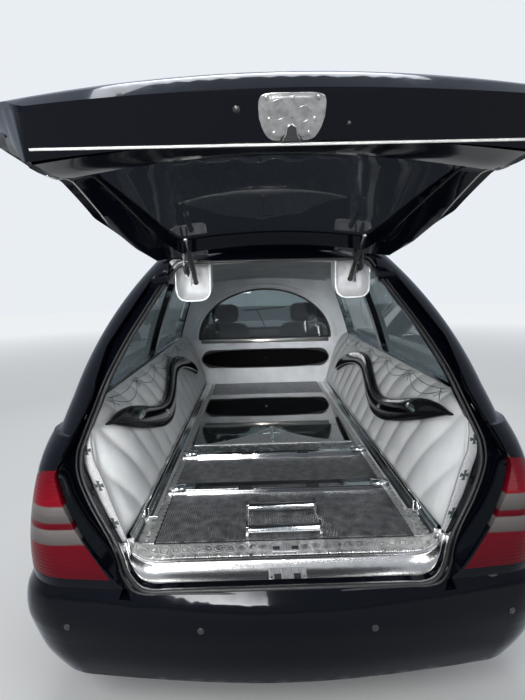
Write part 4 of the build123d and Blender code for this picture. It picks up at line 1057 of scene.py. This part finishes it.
def lamp_finish():
    """Red plastic whose two bands, where Z lies between set heights that fall a little towards the car's
    middle, turn grey; a sine across the lens gives the flutes and a wider one the inner reflector steps."""
    made, shader = new_material("tail_lens")
    add, join = nodes_of(made)
    where = add("TexCoord")
    split = add("SeparateXYZ")
    join(where.outputs["Object"], split.inputs[0])
    bend = add("Math", operation="ABSOLUTE")
    join(split.outputs[1], bend.inputs[0])
    slope = add("Math", operation="MULTIPLY_ADD")
    join(bend.outputs[0], slope.inputs[0])
    slope.inputs[1].default_value = 0.06
    join(split.outputs[2], slope.inputs[2])
    ramp = add("ValToRGB")
    scale = add("MapRange")
    scale.inputs["From Min"].default_value, scale.inputs["From Max"].default_value = 0.60, 1.00
    join(slope.outputs[0], scale.inputs["Value"])
    join(scale.outputs["Result"], ramp.inputs["Fac"])
    # The red just above the upper grey band is painted brightest and fades upwards: a painted highlight. Each grey
    # band lightens towards its top.
    stops = [(0.0, (0.060, 0.0006, 0.004)), (0.315, (0.085, 0.0008, 0.005)), (0.325, (0.060, 0.054, 0.052)),
             (0.435, (0.11, 0.10, 0.095)),
             (0.445, (0.070, 0.0007, 0.005)), (0.485, (0.075, 0.0008, 0.005)), (0.495, (0.055, 0.049, 0.047)),
             (0.610, (0.11, 0.10, 0.095)),
             (0.620, (0.14, 0.0014, 0.007)), (1.0, (0.060, 0.0008, 0.004))]
    fill_ramp(ramp, stops)
    join(ramp.outputs["Color"], shader.inputs["Base Color"])
    flutes = add("TexWave", Scale=70.0, bands_direction="Y")
    join(where.outputs["Object"], flutes.inputs["Vector"])
    steps = add("TexWave", Scale=26.0, bands_direction="Z")
    join(where.outputs["Object"], steps.inputs["Vector"])
    both = add("Math", operation="MULTIPLY_ADD")
    join(flutes.outputs["Fac"], both.inputs[0])
    both.inputs[1].default_value = 0.4
    join(steps.outputs["Fac"], both.inputs[2])
    raised = add("Bump", Distance=0.0012, Strength=0.5)
    join(both.outputs[0], raised.inputs["Height"])
    join(raised.outputs["Normal"], shader.inputs["Normal"])
    shader.inputs["Roughness"].default_value = 0.30
    shader.inputs["Specular IOR Level"].default_value = 0.05
    shader.inputs["Coat Weight"].default_value = 0.30
    shader.inputs["Coat IOR"].default_value = 1.28
    shader.inputs["Coat Roughness"].default_value = 0.04
    return made


skin("tail_lamps", lamp_finish(), 0.003)
z = np.linspace(0.575, 0.915, 24)
shut = np.interp(z, SHUT_Z, SHUT_Y) + np.interp(z, FULLER_Z, FULLER_Y) - 0.0035
reveals = []
for side in (1, -1):
    outer = gate_inner(shut, z) - GATE_DEPTH
    wall = [np.stack([outer + d, side * (shut - 0.002 * (d > 0.05)), z],
                     -1) for d in (-0.004, 0.002, 0.060, 0.112)]
    reveals.append(patch("reveal", place(np.stack(wall)), lacquer))
join_pieces("lamp_reveals", reveals)


# Headlamps and grille: clear lenses over two silvered bowls a side, and a chromed grille between them.
def headlamp_finish():
    """Colour by the distance in Y and Z from the nearer bowl's middle: bright bulb, dark ring, silver bowl,
    dark bezel from 56 to 62 mm, then grey; the whole lens has fine upright flutes."""
    made, shader = new_material("headlamp_lens")
    add, join = nodes_of(made)
    where, split, side = add("TexCoord"), add("SeparateXYZ"), add("Math", operation="ABSOLUTE")
    join(where.outputs["Object"], split.inputs[0])
    join(split.outputs[1], side.inputs[0])
    near = None
    for middle in (0.535, 0.690):
        place = add("CombineXYZ", Z=0.0)
        across, up = add("Math", operation="SUBTRACT"), add("Math", operation="SUBTRACT")
        reach = add("VectorMath", operation="LENGTH")
        across.inputs[1].default_value, up.inputs[1].default_value = middle, 0.655
        join(side.outputs[0], across.inputs[0])
        join(split.outputs[2], up.inputs[0])
        join(across.outputs[0], place.inputs[0])
        join(up.outputs[0], place.inputs[1])
        join(place.outputs[0], reach.inputs[0])
        if near:
            both = add("Math", operation="MINIMUM")
            join(near.outputs["Value"], both.inputs[0])
            join(reach.outputs["Value"], both.inputs[1])
            near = both
        else:
            near = reach
    ramp, span = add("ValToRGB"), add("MapRange")
    span.inputs["From Max"].default_value = 0.10
    join(near.outputs[0], span.inputs["Value"])
    join(span.outputs["Result"], ramp.inputs["Fac"])
    stops = [(0.0, (0.80, 0.82, 0.84)), (0.16, (0.80, 0.82, 0.84)), (0.19, (0.10, 0.11, 0.12)),
             (0.24, (0.45, 0.47, 0.50)), (0.52, (0.62, 0.65, 0.68)),
             (0.56, (0.04, 0.042, 0.045)), (0.62, (0.05, 0.052, 0.055)), (0.66, (0.24, 0.25, 0.27)),
             (1.0, (0.30, 0.32, 0.34))]
    fill_ramp(ramp, stops)
    join(ramp.outputs["Color"], shader.inputs["Base Color"])
    flutes, raised = add("TexWave", Scale=40.0, bands_direction="Y"), add("Bump", Distance=0.0008, Strength=0.4)
    join(where.outputs["Object"], flutes.inputs["Vector"])
    join(flutes.outputs["Fac"], raised.inputs["Height"])
    join(raised.outputs["Normal"], shader.inputs["Normal"])
    shader.inputs["Metallic"].default_value = 0.55
    shader.inputs["Roughness"].default_value = 0.16
    shader.inputs["Coat Weight"].default_value = 0.8
    shader.inputs["Coat Roughness"].default_value = 0.03
    return made


skin("headlamps", headlamp_finish(), 0.003)
skin("grille", finish("grille_chrome", (0.34, 0.35, 0.36), 0.16, metal=1.0, speck=0.1,
                              speck_scale=60.0), 0.002)


# Tailgate fittings, worked out with the gate shut and then swung up with it: a smoked gloss panel on the
# inner face whose turned edge is a pale strip, a painted highlight, the same painted highlight as a bead down
# both sides of the frame, and on the lower end a pressed zinc latch plate with a slot for the striker.
def on_gate(points):
    """Points given with the gate shut, in lengths along the car, swung open into place."""
    p = place(points)
    return swung(p.reshape(-1, 3), OPEN).reshape(p.shape)


def gate_face(y, z, above):
    """A place on the gate's thinned inner face, `above` in front of it."""
    outer = gate_inner(y, z) - GATE_DEPTH
    return outer + GATE_DEPTH * gate_thin(z) + above


def end_face(t, y, out):
    """A place on the gate's lower end: t runs from the outer crease to the lip, `out` is along its normal."""
    t, y, out = np.broadcast_arrays(t, y, out)
    return np.stack([0.050 + 0.105 * t + 0.223 * out, y + 0 * t, 0.548 + 0.024 * t - 0.975 * out], -1)


def inner_half(z):
    """Half width of the gate's inner face at each height, with the same fuller line by the lamps."""
    fuller = np.interp(z, (0.540, 0.6465, 0.727, 0.808, 0.884, 0.940, 0.992, 1.110),
                       (0, 0.026, 0.045, 0.057, 0.055, 0.045, 0.026, 0))
    return np.interp(z, SHUT_Z, (0.545, 0.700, 0.690, 0.625, 0.385)) + fuller


END_LENGTH = 0.1077


def round_head(name, t, y, radius, steps, low, rise, material):
    """A low domed head on the gate's end: its height is `low` plus `rise` times one less the square of the
    share of its radius."""
    share, turn = np.array(steps)[:, None], ring[::6][None]
    heads = end_face(t + (radius * share * np.sin(turn)) / END_LENGTH, y + radius * share * np.cos(turn),
                     low + rise * (1 - share ** 2) + 0 * turn)
    return patch(name, on_gate(heads), material, close_v=True)


z = np.linspace(0.588, 1.055, 25)
v = np.linspace(-1, 1, 41)
zz, vv = np.meshgrid(z, v, indexing="ij")
yy = vv * (inner_half(zz) - 0.020)
depth = np.minimum(1, (1 - np.abs(vv)) / 0.03) * np.minimum(1, (zz - 0.588) / 0.012)
smoked_panel = finish("smoked_panel", (0.004, 0.005, 0.008), 0.10, coat=0.25, speck=0.03, speck_scale=6.0)
trim_panel = patch("gate_trim_panel", on_gate(np.stack([gate_face(yy, zz, 0.002 + 0.006 * depth), yy, zz], -1)),
                   smoked_panel)
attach(trim_panel, "tailgate")
gate_parts = []
lip_y = np.linspace(-0.548, 0.548, 31)
# The pale grey strip along the lip and the pale beads are a painted highlight: the light caught by the turned edges.
gate_parts.append(sweep("lip", on_gate(end_face(1.0 + 0 * lip_y, lip_y, 0.001)), ring_section(0.006, 0.005, 8),
                        (1, 0, 0.2),
                        finish("edge_painted_highlight", (0.42, 0.42, 0.41), 0.4, speck=0.05, speck_scale=30.0)))
painted_highlight_edge = gate_parts[0].data.materials[0]
for side in (1, -1):
    z = np.linspace(1.02, 1.545, 60)
    y = inner_half(z) - 0.006
    gate_parts.append(sweep("bead", on_gate(np.stack([gate_face(y, z, 0.002), side * y, z], -1)),
                            ring_section(0.006, 0.005, 8), (0, side, 0), painted_highlight_edge))
    y = np.interp(z, (0.60, 1.06, 1.075, 1.50), (0.585, 0.598, 0.585, 0.392)) + 0.018
    keep = z > 1.06
    gate_parts.append(sweep("rubber", on_gate(np.stack([gate_face(y, z, 0.0015), side * y, z], -1)[keep]),
                            ring_section(0.009, 0.006, 8), (0, side, 0), rubber))
    if side > 0:
        for t, y, r in ((0.33, 0.112, 0.0075), (0.62, -0.118, 0.0045)):
            gate_parts.append(round_head("stud", t, y, r, (1.0, 0.92, 0.6, 0.02), 0.0006, 0.004, satin_black))
join_pieces("gate_fittings", gate_parts, "tailgate")


def latch_plate():
    """The zinc plate: rounded trapezium outline, 2.4 mm flange, the middle 2.3 mm proud of it, the slot let
    in from the lip with turned edges, nine rivet heads and two ring swages."""
    zinc = finish("zinc_plate", (0.50, 0.50, 0.49), 0.24, metal=1.0, speck=0.5, speck_scale=55.0, bump=0.0006,
                  bump_scale=55.0, second=(0.30, 0.30, 0.30))
    c, s = circle(96)
    box_t = 0.49 + 0.44 * full(s, 0.35)
    box_y = full(c, 0.35) * np.interp(box_t, (0.05, 0.55, 0.93), (0.070, 0.067, 0.050))
    notch = np.exp(-(box_y / 0.016) ** 4) * (s > 0.5) * 0.30
    rings = []
    for share, out in ((1.0, 0.0004), (1.0, 0.0016), (0.97, 0.0024), (0.86, 0.0024), (0.82, 0.0042),
                       (0.70, 0.0046), (0.4, 0.0047), (0.02, 0.0047)):
        rings.append(end_face(0.49 + (box_t - notch - 0.49) * share, box_y * share, out))
    pieces = [patch("plate", on_gate(np.array(rings)), zinc, close_v=True)]
    slot = np.stack([end_face(t, y, 0.0050)
                     for t, y in ((0.60, 0.0), (0.66, 0.010), (0.80, 0.012), (0.94, 0.020))])
    for half in (1, -1):
        pieces.append(sweep("slot_rim", on_gate(slot[::-1] * (1, half, 1)), ring_section(0.003, 0.004, 8),
                            (0.2, 0, -1), zinc))
    # The slot's opening is a flat near-black patch laid on the plate: painted shade.
    hole_t, hole_y = np.array((0.62, 0.72, 0.93)), np.array((0.006, 0.010, 0.016))
    hole = np.stack([end_face(hole_t, k * hole_y, 0.0050) for k in (-1.0, 0.0, 1.0)])
    pieces.append(patch("slot_painted_shade", on_gate(hole), underseal_and_painted_shade))
    for t, y, r in ((0.14, -0.052, 0.005), (0.14, 0.052, 0.005), (0.30, -0.030, 0.007), (0.34, 0.028, 0.009),
                    (0.52, 0.046, 0.005), (0.52, -0.046, 0.005),
                    (0.78, 0.036, 0.005), (0.78, -0.036, 0.005), (0.14, 0.0, 0.004)):
        pieces.append(round_head("rivet", t, y, r, (1.0, 0.85, 0.5, 0.02), 0.0045, 0.0016, zinc))
    for t, y, r in ((0.34, 0.028, 0.019), (0.42, -0.024, 0.015)):
        path = on_gate(end_face(t + r * np.sin(ring[::3]) / END_LENGTH, y + r * np.cos(ring[::3]), 0.0047))
        pieces.append(sweep("swage", path, ring_section(0.003, 0.002, 8), (0.223, 0, -0.975), zinc,
                            closed=True))
    return join_pieces("gate_latch_plate", pieces, "tailgate")


latch_plate()


# Wheels: radial tyres with four grooves round the tread and cross sipes, on cast alloy rims with a plain
# centre cap and five bolts. Nothing is written on them.
tyre_rubber = finish("tyre_rubber", (0.014, 0.014, 0.0145), 0.62, speck=0.06, speck_scale=40.0, bump=0.0003,
                     bump_scale=260.0)
cast_alloy = finish("cast_alloy", (0.46, 0.47, 0.48), 0.26, metal=0.9, coat=0.4, speck=0.04, speck_scale=90.0,
                    bump=0.00004, bump_scale=500.0)


def tyre(node):
    """A closed profile turned about the axle. Tread radius = 0.327 less a crown of 5 mm; the grooves are 7 mm
    deep where |v| is near 0.22 and 0.64 of the half width; cross sipes cut the shoulders every five degrees."""
    low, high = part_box(node)
    middle = [(low[k] + high[k]) / 2 for k in range(3)]
    radius, half = (high.z - low.z) / 2, (high.y - low.y) / 2
    v = np.linspace(-1, 1, 33)
    groove = np.minimum(np.abs(np.abs(v) - 0.22), np.abs(np.abs(v) - 0.64)) < 0.045
    tread = radius - 0.005 * v ** 4 - 0.007 * groove
    wall = np.array([(1.00, 0.955), (1.00, 0.90), (0.985, 0.82), (0.945, 0.735), (0.92, 0.690), (0.80, 0.672)])
    profile = np.r_[np.c_[v * 0.80 * half, tread], wall * (half, radius), (wall[::-1] * (-half, radius))]
    turn = np.linspace(0, 2 * np.pi, 145)[:-1]
    shoulder = (np.abs(profile[:, 0]) > 0.58 * half) & (profile[:, 1] > radius * 0.95)
    deep = 0.004 * ((np.arange(144) % 2) == 0)[:, None] * shoulder[None]
    r = profile[None, :, 1] - deep
    points = np.stack([middle[0] + r * np.sin(turn)[:, None], middle[1] + profile[None, :, 0] + 0 * r,
                       middle[2] + r * np.cos(turn)[:, None]], -1)
    made = patch(node.replace("tyre", "tread"), points, tyre_rubber, close_u=True, close_v=True)
    made.data.set_sharp_from_angle(angle=radians(40))
    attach(made, BODY_OF[node])
    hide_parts(node)
    return middle, half


for corner in ("rear_left", "rear_right", "front_left", "front_right"):
    (cx, cy, cz), half = tyre("tyre_" + corner)
    skin("rim_" + corner, cast_alloy, 0.002)
    out = 1 if cy > 0 else -1
    low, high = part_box("rim_" + corner)
    face_y = high.y if out > 0 else low.y
    caps = []
    rr = np.array((1.0, 1.0, 0.94, 0.75, 0.4, 0.02))
    lift = np.array((-0.030, 0.000, 0.004, 0.006, 0.007, 0.0075))
    bolts = [(0.056 * np.sin(a), 0.056 * np.cos(a), 0.010) for a in np.arange(5) * 2 * np.pi / 5]
    for px, pz, r in [(0, 0, 0.030)] + bolts:
        sink = 0.012 if r > 0.02 else 0.020
        x = cx + px + r * rr[:, None] * np.cos(ring[::4])[None]
        y = face_y + out * (lift[:, None] * (r / 0.03) ** 0.5 - sink) + 0 * ring[::4][None]
        z = cz + pz + r * rr[:, None] * np.sin(ring[::4])[None]
        caps.append(patch("cap", np.stack([x, y, z], -1), satin_black if r > 0.02 else chrome, close_v=True))
    join_pieces("caps_" + corner, caps, BODY_OF["rim_" + corner])


# Front seats, seen through the half-moon window: foam cushions and backs in dark grey leather with darker
# centres, filled out by cloth simulation, on a plain base with headrest posts.
seat_leather = finish("seat_leather", (0.11, 0.105, 0.10), 0.48, speck=0.05, speck_scale=9.0, bump=0.0004,
                      bump_scale=380.0)
dark_leather = finish("dark_leather", (0.028, 0.028, 0.030), 0.46, speck=0.05, speck_scale=9.0, bump=0.0004,
                      bump_scale=380.0)


def cushion(name, size, centre, tilt, material, power=4.5, seams=0):
    """A rounded block by superellipse rings: each ring's half sizes shrink as (1 - |w|^p)^(1/p) along its
    thickness, with `seams` shallow cross channels, leaned back by `tilt` about Y."""
    w = np.sin(np.linspace(-np.pi / 2, np.pi / 2, 29))
    c, s = circle(84)
    shrink = ((1 - np.abs(w) ** power * 0.985) ** (1 / power))[:, None]
    u, v = full(c, 2 / power)[None], full(s, 2 / power)[None]
    p = np.stack([w[:, None] * size[0] / 2 + 0 * u, shrink * u * size[1] / 2, shrink * v * size[2] / 2], -1)
    if seams:
        groove = np.exp(-(((p[..., 2] / size[2] * seams) % 1 - 0.5) / 0.06) ** 2)
        p[..., 0] -= np.sign(p[..., 0]) * 0.008 * groove * (np.abs(w)[:, None] > 0.5)
    lean = radians(tilt)
    x = p[..., 0] * np.cos(lean) - p[..., 2] * np.sin(lean)
    z = p[..., 0] * np.sin(lean) + p[..., 2] * np.cos(lean)
    points = place(np.stack([x + centre[0], p[..., 1] + centre[1], z + centre[2]], -1))
    return patch(name, points, material, close_v=True, caps=True)


def front_seat(side):
    """Cushion, back and headrest, the back with a dark centre panel, joined as one cover."""
    y = 0.370 * side
    rake = 12

    def on_back(up, ahead=0.0, aside=0.0):
        return 3.455 - np.sin(radians(rake)) * up + ahead, y + aside, 0.560 + np.cos(radians(rake)) * up
    parts = [cushion("a", (0.120, 0.480, 0.490), (3.745, y, 0.535), 90, seat_leather, 5, 4),
             cushion("b", (0.115, 0.480, 0.600), on_back(0.310), rake, seat_leather, 5, 5),
             cushion("c", (0.118, 0.300, 0.560), on_back(0.300, 0.006), rake, dark_leather, 6, 5),
             cushion("d", (0.085, 0.255, 0.175), on_back(0.700), rake, seat_leather, 3.5)]
    seat = join_pieces("seat_left" if side > 0 else "seat_right", parts)
    blow_out(seat, 5, 15, 0.008)
    smoother = seat.modifiers.new("smooth", "SUBSURF")
    smoother.levels = smoother.render_levels = 1
    base = slab("base", (3.530, 3.930), (y - 0.205, y + 0.205), (0.357, 0.478), dark_leather, 0.02)
    posts = [sweep("post", place([on_back(up, 0.0, dy) for up in (0.58, 0.66)]), ring_section(0.012, 0.012, 10),
                   (0, 1, 0), chrome) for dy in (-0.07, 0.07)]
    join_pieces("seat_base_left" if side > 0 else "seat_base_right", [base, *posts])
    return seat


seats = both_sides(front_seat)
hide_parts("seats")


# Driver's place: soft dark dashboard with its instrument hood and outlets, steering column and a leather
# wheel. Only seen past the front seats.
dash_skin = finish("dash_plastic", (0.020, 0.020, 0.022), 0.52, speck=0.05, speck_scale=12.0, bump=0.0005,
                   bump_scale=380.0)
skin("dashboard", dash_skin, 0.006)
skin("steering_column", dash_skin, 0.003)
skin("steering_wheel", dark_leather, 0.002)
outlets = []
low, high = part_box("dashboard")
face_x = low.x - 0.002
for y in (-0.62, -0.10, 0.06, 0.62):
    frame_path = [(face_x, y + dy, 0.872 + dz) for dy, dz in ((-0.06, -0.03), (0.06, -0.03), (0.06, 0.03),
                                                              (-0.06, 0.03))]
    outlets.append(sweep("vent", spline(frame_path, 32, closed=True), ring_section(0.008, 0.008, 8), (1, 0, 0),
                         satin_black, closed=True))
    for dz in (-0.018, -0.006, 0.006, 0.018):
        outlets.append(sweep("vane", [(face_x, y - 0.05, 0.872 + dz), (face_x, y + 0.05, 0.872 + dz)],
                             bar_section(0.010, 0.0025, 0.0006), (0, 0, 1), satin_black))
join_pieces("dash_outlets", outlets)


# Small outside fittings: door handles with their chrome strip, mirror glass, chrome strips along the belt,
# wiper arms and blades, and bumper sensors; then the polished strips at the foot of the pads.
def handle(side):
    """A grip bowed out by a cosine, on the rear end of the door."""
    t = np.linspace(0, 1, 25)
    x = ZERO + 3.47 + 0.20 * t
    y = side * (0.885 + 0.030 * np.sin(np.pi * t) ** 0.6)
    grip = sweep("grip", np.stack([x, y, 0 * t + 0.905], -1), ring_section(0.026, 0.016, 12, 3), (0, 0, 1),
                 lacquer)
    strip = sweep("strip", np.stack([x[2:-2], (y + side * 0.009)[2:-2], 0 * t[2:-2] + 0.905], -1),
                  ring_section(0.007, 0.003, 8), (0, 0, 1), chrome)
    return join_pieces("handle_left" if side > 0 else "handle_right", [grip, strip],
                       "door_left" if side > 0 else "door_right")


both_sides(handle)
for side in (1, -1):
    c, s = circle(48)
    u, v = 0.080 * full(c, 0.45), 0.052 * full(s, 0.45)
    glass = np.stack([np.stack([ZERO + 4.184 - 0.003 * k + 0 * u, side * 0.955 + k * u, 1.070 + k * v], -1)
                      for k in (1.0, 0.96, 0.5, 0.02)])
    mirror_glass = patch("mirror_glass_left" if side > 0 else "mirror_glass_right", glass,
                         finish("mirror_silver", (0.80, 0.82, 0.83), 0.03, metal=1.0, speck=0.01,
                                speck_scale=9.0), close_v=True)
    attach(mirror_glass, "door_left" if side > 0 else "door_right")
trim_parts = []
for side in (1, -1):
    for low_x, high_x in ((0.60, 1.94), (2.05, 3.32)):
        x = np.linspace(low_x, high_x, 24)
        y = 0.838 - 0.010 * ((x - 2.2) / 1.2) ** 2
        trim_parts.append(sweep("belt", place(np.stack([x, side * (y + 0.004), 0 * x + 1.033], -1)),
                                ring_section(0.010, 0.014, 10), (0, 0, 1), chrome))
for y in (-0.030, 0.560):
    t = np.linspace(0, 1, 12)
    arm = np.stack([4.405 - 0.36 * t, y + 0.10 * t - 0.104 * t * (y > 0.3),
                    1.000 + 0.245 * t + 0.012 * np.sin(np.pi * t)], -1)
    trim_parts.append(sweep("arm", place(arm), bar_section(0.010, 0.006, 0.001), (0, 0, 1), satin_black))
    blade = np.stack([4.05 + 0.06 * t, y - 0.16 + 0.46 * t - 0.06, 1.262 - 0.035 * t], -1)
    trim_parts.append(sweep("blade", place(blade), bar_section(0.008, 0.012, 0.001), (-0.6, 0, 0.8), rubber))
join_pieces("outside_trim", trim_parts)
bumper_parts = []
for x, y, z in ((0.0763, 0.7329, 0.4123), (0.0238, 0.2859, 0.4202), (0.0212, -0.2754, 0.4131),
                (0.0782, -0.7474, 0.4175)):
    radius, slant = 0.0115 * np.array((1.0, 1.0, 0.85, 0.02))[:, None], 0.35 * y
    out = np.array((-0.006, 0.0015, 0.0028, 0.0030))[:, None]
    dy, dz = radius * np.cos(ring[::6])[None], radius * np.sin(ring[::6])[None]
    head = np.stack([x - out + abs(slant) * dy * np.sign(y), y + dy, z + dz], -1)
    bumper_parts.append(patch("sensor", place(head), satin_black, close_v=True))
join_pieces("bumper_sensors", bumper_parts)
foot_strips = []
for side in (1, -1):
    x = np.linspace(0.245, 3.12, 40)
    profile = [(0.532, 0.6030), (0.540, 0.6045), (0.548, 0.6110), (0.552, 0.6400), (0.556, 0.6410)]
    strip = [np.stack([x, side * (y + 0 * x), z + 0 * x], -1) for y, z in profile]
    foot_strips.append(patch("corner", place(np.stack(strip)), polished_steel))
join_pieces("pad_strips", foot_strips)
